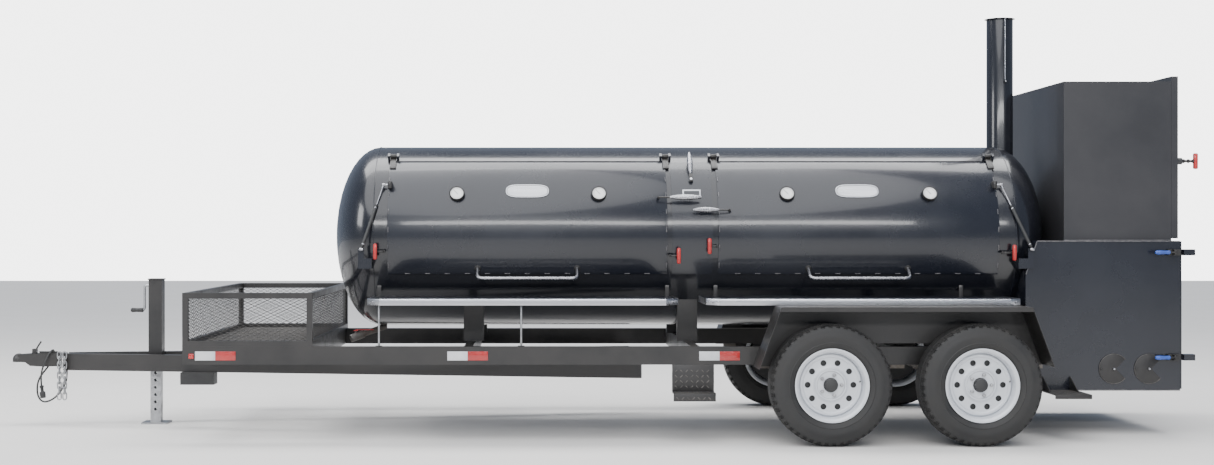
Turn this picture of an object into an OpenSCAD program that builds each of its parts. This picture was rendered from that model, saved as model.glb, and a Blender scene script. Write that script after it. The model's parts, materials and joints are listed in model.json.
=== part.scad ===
// Reverse-flow offset smoker on a tandem-axle road trailer.
// Origin: middle of the overall box, on the ground. +X points to the firebox end, -Y is the door side.

/* [Tank] */
// Outer radius of the tank
tank_r = 551; // [540:1:556]
// Wall thickness of the tank
tank_wall = 8; // [6:1:10]
// Height of the tank's axis above the ground
tank_z = 1166; // [1160:1:1172]
// Where the straight part of the tank begins
tank_x0 = -1286; // [-1300:1:-1280]
// Where the straight part of the tank ends
tank_x1 = 2504; // [2500:1:2508]
// Depth of each domed head
head_depth = 275; // [260:1:277]

/* [Doors] */
// Lower edge of the doors, in degrees above the horizontal
door_a0 = -24; // [-26:1:-22]
// Upper edge of the doors, in degrees above the horizontal
door_a1 = 53; // [50:1:54]
// Thickness of the door plate
door_t = 6; // [5:1:6]

/* [Trailer] */
// Overall half length
half_len = 3586; // [3586:1:3590]
// Half of the frame's outer width
frame_y = 914; // [910:1:916]
// Underside of the side rails
rail_z = 437; // [437:1:438]
// Depth of the rails and beams
beam_h = 101.6; // [98:0.1:101.6]
// Width of the rails and beams
beam_w = 50.8; // [48:0.1:51]

/* [Wheels] */
// Tyre outside radius
tyre_r = 340; // [338:1:341]
// Width of the tyre
tyre_w = 205; // [200:1:206]
// Place of the front axle
axle_front_x = 1307; // [1305:1:1309]
// Place of the rear axle
axle_rear_x = 2138; // [2136:1:2140]

/* [Firebox and cabinet] */
// Half width of the firebox
fire_y = 600; // [595:1:600]
// Plate thickness of the firebox
fire_t = 6; // [5:1:8]
// Half width of the warming cabinet
cab_y = 550; // [540:1:552]
// Underside of the firebox
fire_z0 = 260; // [258:1:264]
// Top of the firebox, where the cabinet stands
fire_z1 = 1138; // [1136:1:1140]
// Top of the cabinet
cab_z1 = 2078; // [2070:1:2085]

/* [Stack] */
// Outer radius of the stack
stack_r = 80; // [76:1:82]
// Place of the stack along the trailer
stack_x = 2564; // [2560:1:2568]
// Top of the stack
stack_z1 = 2512; // [2480:1:2516]

/* [Hidden] */
$fn = 72;
gap = 0.2;
steel_black = [0.05, 0.055, 0.07];
steel_dark = [0.09, 0.09, 0.1];
bright = [0.75, 0.76, 0.78];
rubber_black = [0.04, 0.04, 0.045];
grip_red = [0.8, 0.1, 0.1];
grip_blue = [0.1, 0.25, 0.7];
rail_top = rail_z + beam_h;
door_in_r = tank_r + 1;
door_out_r = door_in_r + door_t;
doors_x = [[-1206, 448], [748, 2405]];
hinge_a = 57;
hinge_r = tank_r + 24;
hinge_y = -hinge_r * cos(hinge_a);
hinge_z = tank_z + hinge_r * sin(hinge_a);
strut_y1 = -488;
strut_z1 = 1470;
strut_y0 = -624;
strut_z0 = 1088;
strut_xs = [[-1351, -1232], [2576, 2432]];
function strut_root(s) = s[0] < 0 ? -1325 : 2500;
latches = [[-1273, 1075, 60], [511, 1050, -58], [692, 1106, 52], [2482, 1068, -72]];
knuckle_w = 36;
hinge_x = [[-1205, 434], [726, 2384]];
lever_a = 36;
cable_d = 11;
cable_route = [
    [-3240, -34, 334], [-3240, -34, 304], [-3246, -32, 266], [-3264, -29, 226], [-3290, -24, 190],
    [-3320, -18, 160], [-3354, -12, 140], [-3388, -7, 133], [-3415, -2, 146], [-3431, 3, 173],
    [-3437, 8, 210], [-3435, 14, 248], [-3425, 25, 282], [-3409, 39, 310], [-3391, 52, 336],
    [-3374, 60, 363], [-3360, 62, 392], [-3348, 54, 423], [-3340, 31, 446], [-3338, 0, 454],
    [-3342, -31, 446], [-3352, -54, 423], [-3364, -64, 392], [-3376, -69, 360], [-3385, -71, 328],
    [-3389, -71, 296], [-3389, -71, 266], [-3387, -71, 240]
];

// 2D drawn in (Y, Z) and extruded along X from x0 to x1
module along_x(x0, x1) translate([x0, 0, 0]) rotate([90, 0, 90]) linear_extrude(x1 - x0) children();

// 2D drawn in (X, Z) and extruded along Y from y0 to y1
module along_y(y0, y1) translate([0, y1, 0]) rotate([90, 0, 0]) linear_extrude(y1 - y0) children();

// A bar of round section from a to b
module rod(a, b, r) {
    d = b - a;
    len = norm(d);
    translate(a) rotate([0, acos(d[2] / len), atan2(d[1], d[0])]) cylinder(h = len, r = r, $fn = 32);
}

// A box from its lowest corner to its highest corner
module block(lo, hi) translate(lo) cube(hi - lo);

// Both sides of the trailer
module both_sides() {
    children();
    mirror([0, 1, 0]) children();
}

// Half profile of the tank grown by g, for a revolve about Z
function tank_profile(g) = let (r = tank_r + g, d = head_depth + g, n = 14) concat(
    [for (i = [0:n]) [r * sin(90 * i / n), tank_x0 - d * cos(90 * i / n)]],
    [for (i = [0:n]) [r * cos(90 * i / n), tank_x1 + d * sin(90 * i / n)]]);

// The tank's outside grown by g, as one solid
module tank_solid(g) translate([0, 0, tank_z]) rotate([0, 90, 0]) rotate_extrude($fn = 96) polygon(tank_profile(g));

// A wedge in (Y, Z) from angle a0 to a1 above the door side's horizontal
module wedge(a0, a1) polygon(concat([[0, 0]], [for (i = [0:4]) let (a = a0 + (a1 - a0) * i / 4) 900 * [-cos(a), sin(a)]]));

// A curved plate round the tank's axis
module arc_plate(r0, r1, a0, a1, x0, x1) translate([0, 0, tank_z]) along_x(x0, x1) intersection() {
    difference() {
        circle(r = r1, $fn = 96);
        circle(r = r0, $fn = 96);
    }
    wedge(a0, a1);
}

// A place on the tank's door side, at radius r and angle a: +Z of the children points outwards
module on_tank(x, r, a) translate([x, -r * cos(a), tank_z + r * sin(a)]) rotate([90 - a, 0, 0]) children();

// ---- Trailer frame ----
module main_frame() color(steel_dark) {
    both_sides() block([-2337, -frame_y, rail_z], [2540, beam_w - frame_y, rail_top]);
    for (x = [-2337, -1660, -739, 553, 1697, 2380])
        block([x, beam_w - frame_y + gap, rail_z], [x + beam_w, frame_y - beam_w - gap, rail_top]);
}

module tongue_beams() color(steel_dark) {
    both_sides() translate([-3250, -50, rail_z - beam_h - gap]) rotate([0, 0, -atan2(560, 3540)])
        translate([0, -beam_w / 2, 0]) cube([3584, beam_w, beam_h]);
    // The jack plate between the beams, open for the leg
    difference() {
        block([-2740, -90, 400], [-2645, 90, 410]);
        block([-2724, -34, 390], [-2656, 34, 420]);
    }
    // The clip that the light cable comes out of
    block([-3250, -44, 334.2], [-3230, -24, 350]);
}

module coupler() color(steel_dark) {
    difference() {
        union() {
            translate([-3548, 0, 396]) intersection() {
                sphere(r = 38, $fn = 48);
                translate([-60, -60, 0]) cube([120, 120, 60]);
            }
            translate([-3548, 0, 382]) cylinder(h = 14.1, r = 38);
            along_y(-34, 34) polygon([[-3548, 384], [-3500, 380], [-3470, 358], [-3400, 354], [-3290, 356],
                [-3290, 434], [-3470, 434], [-3548, 428]]);
            block([-3310, -62, 420], [-3262, 62, 436]);
            block([-3420, -8, 433.9], [-3300, 8, 447]);
        }
        translate([-3548, 0, 396]) sphere(r = 30, $fn = 48);
        translate([-3548, 0, 370]) cylinder(h = 26, r = 30);
        block([-3505, -28, 340], [-3300, 28, 424]);
    }
    // Ears and pin of the latch
    for (y = [-17, 11]) block([-3462, y, 434.2], [-3436, y + 6, 462]);
    rod([-3449, -17, 448], [-3449, 17, 448], 3.95);
}

module coupler_latch() color(steel_dark) difference() {
    union() {
        rod([-3449, -10.5, 448], [-3449, 10.5, 448], 13);
        rod([-3447, 0, 451], [-3410, 0, 508], 5);
    }
    rod([-3449, -20, 448], [-3449, 20, 448], 4);
}

// One chain link, its long way along Z
module link() {
    for (s = [0, 180]) rotate([0, s, 0]) translate([0, 0, 12]) rotate([90, 0, 0]) rotate_extrude(angle = 180, $fn = 24)
        translate([11, 0]) circle(r = 4, $fn = 16);
    for (x = [-11, 11]) translate([x, 0, -12.01]) cylinder(h = 24.02, r = 4, $fn = 16);
}

module safety_chains() color(bright) for (k = [0, 1]) translate([-3268 + 34 * k, -100 - 4 * k, 0]) {
    for (i = [0:7]) translate([0, 0, 430 - 31 * i]) rotate([0, 0, 90 * (i % 2)]) link();
    translate([0, 0, 178]) rotate([0, 0, 20]) link();
}

// Rings of a tube swept along a route, and the faces between them
function unit(v) = v / norm(v);
function tangent(p, i) = unit(p[min(i + 1, len(p) - 1)] - p[max(i - 1, 0)]);
function lerp_route(p, n) = [for (i = [0:len(p) - 2]) for (k = [0:n - 1]) catmull(p, i, k / n), p[len(p) - 1]];
function catmull(p, i, t) = let (a = p[max(i - 1, 0)], b = p[i], c = p[i + 1], d = p[min(i + 2, len(p) - 1)])
    0.5 * ((2 * b) + (c - a) * t + (2 * a - 5 * b + 4 * c - d) * t * t + (3 * b - a - 3 * c + d) * t * t * t);
function ring(p, i, r, m) = let (t = tangent(p, i), u = unit(cross(t, [0.31, 0.95, 0.05])), v = cross(t, u))
    [for (k = [0:m - 1]) p[i] + r * (cos(360 * k / m) * u + sin(360 * k / m) * v)];
module tube(route, r, m) {
    n = len(route);
    points = [for (i = [0:n - 1]) each ring(route, i, r, m)];
    walls = [for (i = [0:n - 2]) for (k = [0:m - 1])
        [i * m + k, i * m + (k + 1) % m, (i + 1) * m + (k + 1) % m, (i + 1) * m + k]];
    polyhedron(points, concat([[for (k = [m - 1:-1:0]) k]], walls, [[for (k = [0:m - 1]) (n - 1) * m + k]]));
}

module light_cable() color(rubber_black) tube(lerp_route(cable_route, 2), cable_d / 2, 10);

module cable_plug() color(rubber_black) translate([-3387, -71, 239.8]) rotate([0, 172, 0]) {
    cylinder(h = 14, r = 13);
    translate([0, 0, 14]) cylinder(h = 24, r = 9.5);
    translate([-15, -12, 38]) cube([30, 24, 40]);
}

module jack_post() color(steel_dark) {
    difference() {
        block([-2731.5, -41.5, 410.2], [-2648.5, 41.5, 893]);
        block([-2726.5, -36.5, 380], [-2653.5, 36.5, 888]);
        translate([-2800, 0, 858]) rotate([0, 90, 0]) cylinder(h = 100, r = 8.05);
    }
    block([-2736, -46, 893.2], [-2644, 46, 901]);
}

module jack_leg() color(bright) {
    difference() {
        block([-2722, -32, 10.2], [-2658, 32, 640]);
        block([-2717, -27, 0], [-2663, 27, 700]);
        for (i = [0:6]) translate([-2690, -50, 90 + 45 * i]) rotate([-90, 0, 0]) cylinder(h = 100, r = 9);
    }
    block([-2770, -75, 0], [-2610, 75, 10]);
}

module jack_crank() color(steel_dark) {
    rod([-2765, 0, 858], [-2660, 0, 858], 8);
    rod([-2765, 0, 866], [-2765, 0, 696], 7);
    rod([-2772.2, 0, 704], [-2850, 0, 704], 14);
}

module breakaway_box() color(rubber_black) difference() {
    block([-2488, -262, 262], [-2283, -150, 335]);
    block([-2484, -258, 266], [-2287, -154, 331]);
}

// ---- Basket, steps, fenders ----
basket_lo = [-2337, -914, rail_top + gap];
basket_hi = [-1599, 914, 844];
bar = 32;

module basket_frame() color(steel_dark) {
    for (z = [basket_lo[2], basket_hi[2] - bar]) {
        for (y = [basket_lo[1], basket_hi[1] - bar]) block([basket_lo[0], y, z], [basket_hi[0], y + bar, z + bar]);
        for (x = [basket_lo[0], basket_hi[0] - bar])
            block([x, basket_lo[1] + bar + gap, z], [x + bar, basket_hi[1] - bar - gap, z + bar]);
    }
    for (x = [basket_lo[0], basket_hi[0] - bar], y = [basket_lo[1], basket_hi[1] - bar])
        block([x, y, basket_lo[2] + bar + gap], [x + bar, y + bar, basket_hi[2] - bar - gap]);
}

module basket_mesh() color(steel_dark) {
    z0 = basket_lo[2] + bar + gap;
    z1 = basket_hi[2] - bar - gap;
    in = bar + gap;
    for (y = [basket_lo[1] + 12, basket_hi[1] - 15]) block([basket_lo[0] + in, y, z0], [basket_hi[0] - in, y + 3, z1]);
    for (x = [basket_lo[0] + 12, basket_hi[0] - 15]) block([x, basket_lo[1] + in, z0], [x + 3, basket_hi[1] - in, z1]);
    block([basket_lo[0] + in, basket_lo[1] + in, basket_lo[2] + 4], [basket_hi[0] - in, basket_hi[1] - in, basket_lo[2] + 7]);
}

module steps() color(steel_dark) {
    // The middle step hangs from the rail
    block([443, -914, 285.2], [681, -908, rail_z - gap]);
    block([443, -1010, 279], [681, -908, 285]);
    block([443, -1010, 238], [681, -1004, 278.8]);
    // The rear step stands out from the firebox
    block([2623, -900, 259], [2832, -600.2, 265]);
    block([2623, -900, 240], [2832, -894, 258.8]);
    for (x = [2640, 2800]) along_x(x, x + 6) polygon([[-600.2, 265.2], [-600.2, 343], [-604, 343], [-760, 265.2]]);
}

fender_line = [[902, 430], [1025, 774], [2412, 774], [2534, 443]];
fender_inner = [[905, 430], [1027, 771], [2410, 771], [2531, 443]];
fender_skirt = [[902, 430], [1025, 774], [2412, 774], [2534, 443], [2380, 443], [2340, 560], [1080, 560], [1040, 430]];

module fenders() color(steel_dark) both_sides() {
    // Front slope, top and rear slope, then the skirt and the turned-down lip
    along_y(-1171, -933.2) polygon([fender_line[0], fender_line[1] - [0.1, 0.2], fender_inner[1] - [0.1, 0.2], fender_inner[0]]);
    along_y(-1171, -933.2) polygon([fender_line[1], fender_line[2], fender_inner[2], fender_inner[1]]);
    along_y(-1171, -933.2) polygon([fender_line[3], fender_line[2] + [0.1, -0.2], fender_inner[2] + [0.1, -0.2], fender_inner[3]]);
    along_y(-933, -928) polygon(fender_skirt);
    along_y(-1174, -1171.2) polygon([[1025, 774], [2412, 774], [2421, 749], [1016, 749]]);
}

module lamps() {
    // Reflective tapes, white half and red half, along the near rail
    for (x = [-2264, -832, 597]) {
        color(bright) block([x, -916, 461], [x + 115, -914.2, 512]);
        color(grip_red) block([x + 115.2, -916, 461], [x + 230, -914.2, 512]);
    }
    color(grip_red) {
        block([-2300, -924, 470], [-2270, -914.2, 500]);
        both_sides() translate([2492, -1060, 560]) rotate([0, 69.8, 0]) {
            translate([0, 0, 3]) cylinder(h = 22, r = 38);
            translate([-110, -20, 3]) cube([60, 40, 18]);
        }
    }
}

// ---- Running gear ----
module axles() color(steel_dark) for (x = [axle_front_x, axle_rear_x]) translate([x, 0, tyre_r]) rotate([90, 0, 0]) {
    translate([0, 0, -930]) cylinder(h = 1860, r = 30);
    for (s = [0, 180]) rotate([s, 0, 0]) translate([0, 0, 929.9]) cylinder(h = 170, r = 20);
}

module leaf_springs() color(steel_dark) both_sides() {
    for (x = [axle_front_x, axle_rear_x]) for (k = [0:2]) along_y(-911, -866) intersection() {
        translate([x, tyre_r + 31 + 8.3 * k + 1200]) difference() {
            circle(r = 1200, $fn = 128);
            circle(r = 1192, $fn = 128);
        }
        translate([x - 320 + 90 * k, tyre_r]) square([640 - 180 * k, 94]);
    }
    for (x = [948, 1682, 2466]) block([x, -911, 416], [x + 80, -866, rail_z - gap]);
}

module tyre(x, side) color(rubber_black) translate([x, side * 1071.5, tyre_r]) rotate([90, 0, 0]) rotate_extrude($fn = 96)
    polygon([[190.4, -82], [208.4, -84], [226, -98], [262, -102.5], [300, -99], [326, -88], [337, -62], [340, -30],
        [340, 30], [337, 62], [326, 88], [300, 99], [262, 102.5], [226, 98], [208.4, 84], [190.4, 82]]);

module rim(x, side) color(bright) translate([x, side * 1071.5, tyre_r]) rotate([side > 0 ? -90 : 90, 0, 0]) difference() {
    union() {
        difference() {
            union() {
                translate([0, 0, -89]) cylinder(h = 178, r = 190);
                for (z = [-89, 84.5]) translate([0, 0, z]) cylinder(h = 4.5, r = 206);
            }
            translate([0, 0, -90]) cylinder(h = 180, r = 182);
        }
        translate([0, 0, 30]) cylinder(h = 8, r = 182.1);
        translate([0, 0, -70]) cylinder(h = 101, r = 62);
        translate([0, 0, 37]) cylinder(h = 34, r = 41);
    }
    for (i = [0:9]) rotate([0, 0, 36 * i + 18]) translate([132, 0, 20]) cylinder(h = 30, r = 19, $fn = 32);
    translate([0, 0, -80]) cylinder(h = 120, r = 20.06);
}

// ---- Tank ----
module tank_shell() color(steel_black) difference() {
    tank_solid(0);
    tank_solid(-tank_wall);
    for (d = doors_x) arc_plate(tank_r - 30, tank_r + 30, door_a0 + 3, door_a1 - 3, d[0] + 20, d[1] - 20);
    translate([stack_x, 0, tank_z + 200]) cylinder(h = 500, r = stack_r - 6);
    translate([-1273, 0, 500]) cylinder(h = 300, r = 22);
    block([2700, -330, 820], [2800, 330, 1020]);
}

module saddles() color(steel_dark) for (x = [-700, 578, 1640, 2350]) difference() {
    block([x - 60, -400, rail_top + gap], [x + 60, 400, 860]);
    tank_solid(gap);
    block([x - 70, -340, rail_top - 1], [x + 70, 340, 900]);
}

module baffle_plate() color(steel_dark) intersection() {
    block([-1050, -480, 894], [2680, 480, 900]);
    tank_solid(-tank_wall - 1);
}

// A flat grille of bars between two corners
module grille(x0, x1, y, z, bars) {
    for (s = [-y, y - 8]) block([x0, s, z], [x1, s + 8, z + 20]);
    for (i = [0:bars]) let (x = x0 + (x1 - x0 - 8) * i / bars) block([x, -y + 4, z + 4], [x + 8, y - 4, z + 14]);
}

module racks() color(bright) {
    for (d = doors_x) {
        grille(d[0] + 40, d[1] - 40, 480, 985, 24);
        grille(d[0] + 40, d[1] - 40, 430, 1240, 24);
    }
    for (z = [1350, 1560, 1770]) grille(cab_x0 + 20, cab_x1 - 20, cab_y - 20, z, 10);
}

// Brackets on the tank: centre band, latch bosses, strut brackets, shelf arms, hinge lugs with their pins
module tank_fittings() color(steel_black) {
    arc_plate(tank_r + gap, tank_r + 5, -24, 53, 476, 716);
    for (l = latches) difference() {
        rod([l[0], -559, l[1]], [l[0], -510, l[1]], 15);
        tank_solid(5.2);
    }
    for (s = strut_xs) difference() {
        union() {
            block([s[0] - 20, -613, 975], [s[0] + 14, -605, 1094]);
            block([min(s[0] - 20, strut_root(s)), -613, 975], [max(s[0] + 14, strut_root(s) + 34), -605, 1035]);
            block([strut_root(s), -605.1, 975], [strut_root(s) + 34, -470, 1035]);
        }
        tank_solid(gap);
    }
    for (pair = hinge_x) for (x = pair) {
        for (lug = [x - 16, x + knuckle_w + 2])
            arc_plate(tank_r + gap, hinge_r + 10, hinge_a - 1.6, hinge_a + 1.6, lug, lug + 14);
        rod([x - 16, hinge_y, hinge_z], [x + knuckle_w + 16, hinge_y, hinge_z], 6);
    }
    on_tank(595, tank_r + 5.2, lever_a) cylinder(h = 10, r = 14);
    on_tank(595, tank_r + 15.1, lever_a) cylinder(h = 14, r = 5);
}

module damper_lever() color(bright) on_tank(595, tank_r + 15.5, lever_a) {
    difference() {
        translate([-9, -14, 0]) cube([18, 60, 8]);
        translate([0, 0, -1]) cylinder(h = 10, r = 5.05);
    }
    translate([0, 45, 4]) rotate([-90, 0, 0]) cylinder(h = 160, r = 9);
}

// ---- Doors ----
pull_y = [-556, -582];
pull_z = [1395, 1320];
function gauges_of(d) = [d[0] + 410, d[1] - 403];
function handle_x(d) = (d[0] + d[1]) / 2;

module door(d, hinges) color(steel_black) difference() {
    union() {
        arc_plate(door_in_r, door_out_r, door_a0, door_a1, d[0], d[1]);
        // Hinge straps and knuckles at the top edge
        for (x = hinges) {
            arc_plate(door_out_r - 0.1, door_out_r + 7, door_a1 - 6, hinge_a + 0.2, x, x + knuckle_w);
            rod([x, hinge_y, hinge_z], [x + knuckle_w, hinge_y, hinge_z], 12);
        }
    }
    for (x = hinges) rod([x - 1, hinge_y, hinge_z], [x + knuckle_w + 1, hinge_y, hinge_z], 6.05);
    for (x = gauges_of(d)) on_tank(x, tank_r - 10, 26) cylinder(h = 40, r = 7);
}

module door_fittings(d, stud_x) {
    left = stud_x < handle_x(d);
    color(bright) {
        for (x = gauges_of(d)) on_tank(x, door_out_r + 3, 26) {
            cylinder(h = 24, r = 44.5);
            translate([0, 0, -120]) cylinder(h = 120.1, r = 5);
        }
        on_tank(handle_x(d), door_out_r + 1, 28.5) translate([-127, -50, 0]) cube([254, 100, 3]);
        for (x = [-294, 294]) rod([handle_x(d) + x, -door_out_r * cos(20) - 4, tank_z - door_out_r * sin(20)],
            [handle_x(d) + x, -592, 928], 9.5);
        rod([handle_x(d) - 304, -603, 918], [handle_x(d) + 304, -603, 918], 9.5);
    }
    // The coil pull on its stalk at the inner edge
    color(bright) rod([left ? 462 : 747, pull_y[left ? 0 : 1], pull_z[left ? 0 : 1]],
        [left ? 646 : 596, pull_y[left ? 0 : 1], pull_z[left ? 0 : 1]], 10);
    color(steel_dark) {
        difference() {
            rod([left ? 398 : 812, pull_y[left ? 0 : 1] + 60, pull_z[left ? 0 : 1]],
                [left ? 398 : 812, pull_y[left ? 0 : 1] + 6, pull_z[left ? 0 : 1]], 8);
            translate([-2000, 0, tank_z]) rotate([0, 90, 0]) cylinder(h = 5000, r = door_out_r + gap);
        }
        rod([left ? 398 : 812, pull_y[left ? 0 : 1] + 10, pull_z[left ? 0 : 1]],
            [left ? 461.5 : 747.5, pull_y[left ? 0 : 1] + 1, pull_z[left ? 0 : 1]], 5);
    }
    // The strut's stud on an ear that stands on the door
    color(steel_black) {
        dx = left ? d[0] : d[1] - 24;
        difference() {
            block([dx, strut_y1 - 22, strut_z1 - 22], [dx + 24, -430, strut_z1 + 22]);
            translate([0, 0, tank_z]) rotate([0, 90, 0]) translate([0, 0, -2000]) cylinder(h = 5000, r = door_out_r + gap);
        }
        rod([left ? dx : dx + 24, strut_y1, strut_z1], [stud_x + (left ? 10 : -10), strut_y1, strut_z1], 5);
    }
}

module latch(l) {
    x = l[0];
    z = l[1];
    reach = l[2];
    color(steel_dark) {
        rod([x, -559.4, z], [x, -578, z], 10);
        block([min(x, x + reach), -573, z - 6], [max(x, x + reach), -562, z + 6]);
    }
    color(grip_red) block([x - 10, -602, z - 47], [x + 10, -578.2, z + 47]);
}

// ---- Struts ----
function strut_low(s) = [s[0], strut_y0, strut_z0];
function strut_high(s) = [s[1], strut_y1, strut_z1];

module strut_cylinder(s) color(steel_dark) {
    u = unit(strut_high(s) - strut_low(s));
    difference() {
        union() {
            rod(strut_low(s) + 7 * u, strut_low(s) + 18 * u, 5);
            rod(strut_low(s) + 16 * u, strut_low(s) + 290 * u, 10);
            rod(strut_low(s) - [9, 0, 0], strut_low(s) + [9, 0, 0], 9);
        }
        rod(strut_low(s) + 30 * u, strut_low(s) + 400 * u, 4.06);
    }
}

module strut_rod(s) color(bright) {
    u = unit(strut_high(s) - strut_low(s));
    rod(strut_low(s) + 32 * u, strut_high(s) - 8 * u, 4);
    rod(strut_high(s) - [9, 0, 0], strut_high(s) + [9, 0, 0], 9);
}

// ---- Shelves, drain, stack ----
shelf_x = [[-1290, 482], [640, 2431]];
shelf_arms = [[-1260, 452], [740, 2200]];
shelf_front = -950;

// Outline of a shelf with its front corners cut, drawn in by g
function shelf_outline(s, g) = let (c = 75 + 0.414 * g, f = shelf_front) [[s[0] + g, -470.4 - g], [s[0] + g, f + c],
    [s[0] + c, f + g], [s[1] - c, f + g], [s[1] - g, f + c], [s[1] - g, -470.4 - g]];

module shelves() for (i = [0, 1]) let (s = shelf_x[i]) {
    color(steel_black) translate([0, 0, 801]) linear_extrude(10) polygon(shelf_outline(s, 4));
    // The bright rim round the edge
    color(bright) translate([0, 0, 774.6]) linear_extrude(36.4) difference() {
        polygon(shelf_outline(s, 0));
        polygon(shelf_outline(s, 3.8));
    }
    // Front props down to the rail, and the end arms behind the rim against the tank
    color(steel_dark) for (x = [s[0] + 68, s[0] + 877]) if (x < 700) rod([x, -895, rail_top + gap], [x, -895, 800.8], 6);
    color(steel_dark) for (x = shelf_arms[i]) difference() {
        block([x - 12, -469.8, 780], [x + 12, -460, 960]);
        tank_solid(gap);
    }
}

module drain_pipe() color(steel_dark) {
    rod([-1273, 0, 600], [-1273, 0, 640], 20);
    rod([-1260, 0, 604], [-1400, -60, 556], 18);
    rod([-1395, -58, 558], [-1470, -92, 532], 24);
    rod([-1440, -78, 560], [-1440, -78, 578], 8);
}

module drain_lever() color(grip_red) {
    block([-1452, -90, 578.3], [-1428, -66, 584]);
    block([-1440, -84, 584.1], [-1330, -72, 588]);
}

module stack() color(steel_black) difference() {
    union() {
        translate([stack_x, 0, 1600]) cylinder(h = stack_z1 - 1600, r = stack_r);
        for (x = [stack_x - 36, stack_x + 24]) block([x, 60, 2484], [x + 12, 98, stack_z1 - 0.2]);
    }
    translate([stack_x, 0, 1500]) cylinder(h = 1100, r = stack_r - 5);
    tank_solid(gap);
}

module stack_lid() color(steel_black) {
    translate([stack_x, 0, stack_z1 + 0.5]) cylinder(h = 4, r = 92);
    block([stack_x - 20, 84, stack_z1 - 4], [stack_x + 20, 98, stack_z1 + 4.5]);
}

module lid_rod() color(bright) {
    rod([stack_x + 8, -89, 2130], [stack_x + 8, -89, stack_z1 - 1], 3);
    rod([stack_x + 8, -86.5, 2132], [stack_x + 8, -112, 2118], 3);
}

// ---- Firebox and cabinet ----
fire_x0 = 2544;
fire_x1 = 3450;
fire_outline = [[fire_x0, fire_z0], [fire_x1, fire_z0], [fire_x1, fire_z1], [2609, fire_z1], [fire_x0, 940]];
damper_x = [3060, 3267];
damper_z = 388;

module firebox_shell() color(steel_black) difference() {
    along_y(-fire_y, fire_y) polygon(fire_outline);
    along_y(fire_t - fire_y, fire_y - fire_t) polygon([[fire_x0 + fire_t, fire_z0 + fire_t], [fire_x1 + 10, fire_z0 + fire_t],
        [fire_x1 + 10, fire_z1 - fire_t], [2613, fire_z1 - fire_t], [fire_x0 + fire_t, 938]]);
    tank_solid(gap);
    // Air holes: a quarter of a disc, facing up
    for (x = damper_x) translate([x, 0, damper_z]) intersection() {
        rotate([90, 0, 0]) cylinder(h = 700, r = 76);
        rotate([0, -45, 0]) block([8, -700, 8], [90, 0, 90]);
    }
}

module firebox_fittings() color(steel_dark) {
    // Grate bars and the ledges that carry them
    for (i = [0:11]) block([2600 + 68 * i, -560, 450], [2640 + 68 * i, 560, 460]);
    for (y = [-593.8, 563.8]) block([2600, y, 430], [3440, y + 30, 449.8]);
    // Bases and pins of the two toggles, and the bolts of the dampers
    for (z = toggle_z) {
        block([3372, -622, z - 18], [3446, -600.2, z + 18]);
        for (e = [z - 18, z + 13]) block([3396, -642, e], [3424, -622.1, e + 5]);
        rod([3410, -634, z - 18], [3410, -634, z + 18], 4);
    }
    for (x = damper_x) rod([x, -600.2, damper_z], [x, -614, damper_z], 6);
    // Hinge leaves on the far side
    for (z = [420, 980]) block([3400, 600.2, z], [3449, 608, z + 80]);
}

toggle_z = [457, 1071];

module firebox_door() {
    color(steel_black) {
        block([fire_x1 + 1, -fire_y, fire_z0 + 10], [fire_x1 + 9, fire_y, fire_z1 - 2]);
        for (z = [420, 980]) {
            rod([3462, 612, z], [3462, 612, z + 80], 9);
            block([fire_x1 + 1, fire_y - 0.1, z], [fire_x1 + 9, 612, z + 80]);
        }
    }
    // Keepers that the toggles draw on
    color(steel_dark) for (z = toggle_z) block([3459.1, -638, z - 18], [3524, -594, z + 18]);
}

module toggle(z) difference() {
    union() {
        color(steel_dark) rod([3410, -634, z - 12.5], [3410, -634, z + 12.5], 9);
        color(steel_dark) rod([3406, -637, z], [3368, -651, z], 6);
        color(grip_blue) rod([3370, -651, z], [3284, -655, z], 12);
    }
    rod([3410, -634, z - 20], [3410, -634, z + 20], 4.05);
}

module air_damper(x) color(steel_black) translate([x, -601, damper_z]) rotate([90, 0, 0]) difference() {
    cylinder(h = 4, r = 88);
    translate([0, 0, -1]) cylinder(h = 6, r = 6.05);
    rotate([0, 0, -45]) translate([8, 8, -1]) cube([90, 90, 6]);
}

cab_x0 = 2785;
cab_x1 = 3418;
latch_pos = [-520, 1609];

module cabinet_shell() color(steel_black) difference() {
    union() {
        difference() {
            block([cab_x0, -cab_y, fire_z1 + gap], [cab_x1, cab_y, cab_z1]);
            block([cab_x0 + 5, 5 - cab_y, fire_z1 + 5], [cab_x1 + 10, cab_y - 5, cab_z1 - 5]);
        }
        // Rack ledges inside and hinge leaves outside
        for (z = [1350, 1560, 1770]) for (y = [5.1 - cab_y, cab_y - 25.1]) block([cab_x0 + 20, y, z - 4.2], [cab_x1 - 20, y + 20, z - 0.2]);
        for (z = [1250, 1900]) block([3380, cab_y - 0.1, z], [cab_x1, cab_y + 6, z + 90]);
    }
    tank_solid(gap);
}

module cabinet_door() {
    color(steel_black) {
        block([cab_x1 + 1, -cab_y, fire_z1 + 14], [cab_x1 + 40, cab_y, cab_z1 + 30]);
        for (z = [1250, 1900]) rod([3438, 560, z], [3438, 560, z + 90], 11.5);
    }
    color(steel_dark) difference() {
        rod([cab_x1 + 40.2, latch_pos[0], latch_pos[1]], [cab_x1 + 72, latch_pos[0], latch_pos[1]], 20);
        rod([cab_x1 + 41, latch_pos[0], latch_pos[1]], [cab_x1 + 80, latch_pos[0], latch_pos[1]], 8.06);
    }
}

module cabinet_latch() {
    color(steel_dark) rod([cab_x1 + 42, latch_pos[0], latch_pos[1]], [3560, latch_pos[0], latch_pos[1]], 8);
    color(grip_red) block([3559.9, latch_pos[0] - 14, latch_pos[1] - 47], [half_len, latch_pos[0] + 14, latch_pos[1] + 47]);
}

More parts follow.
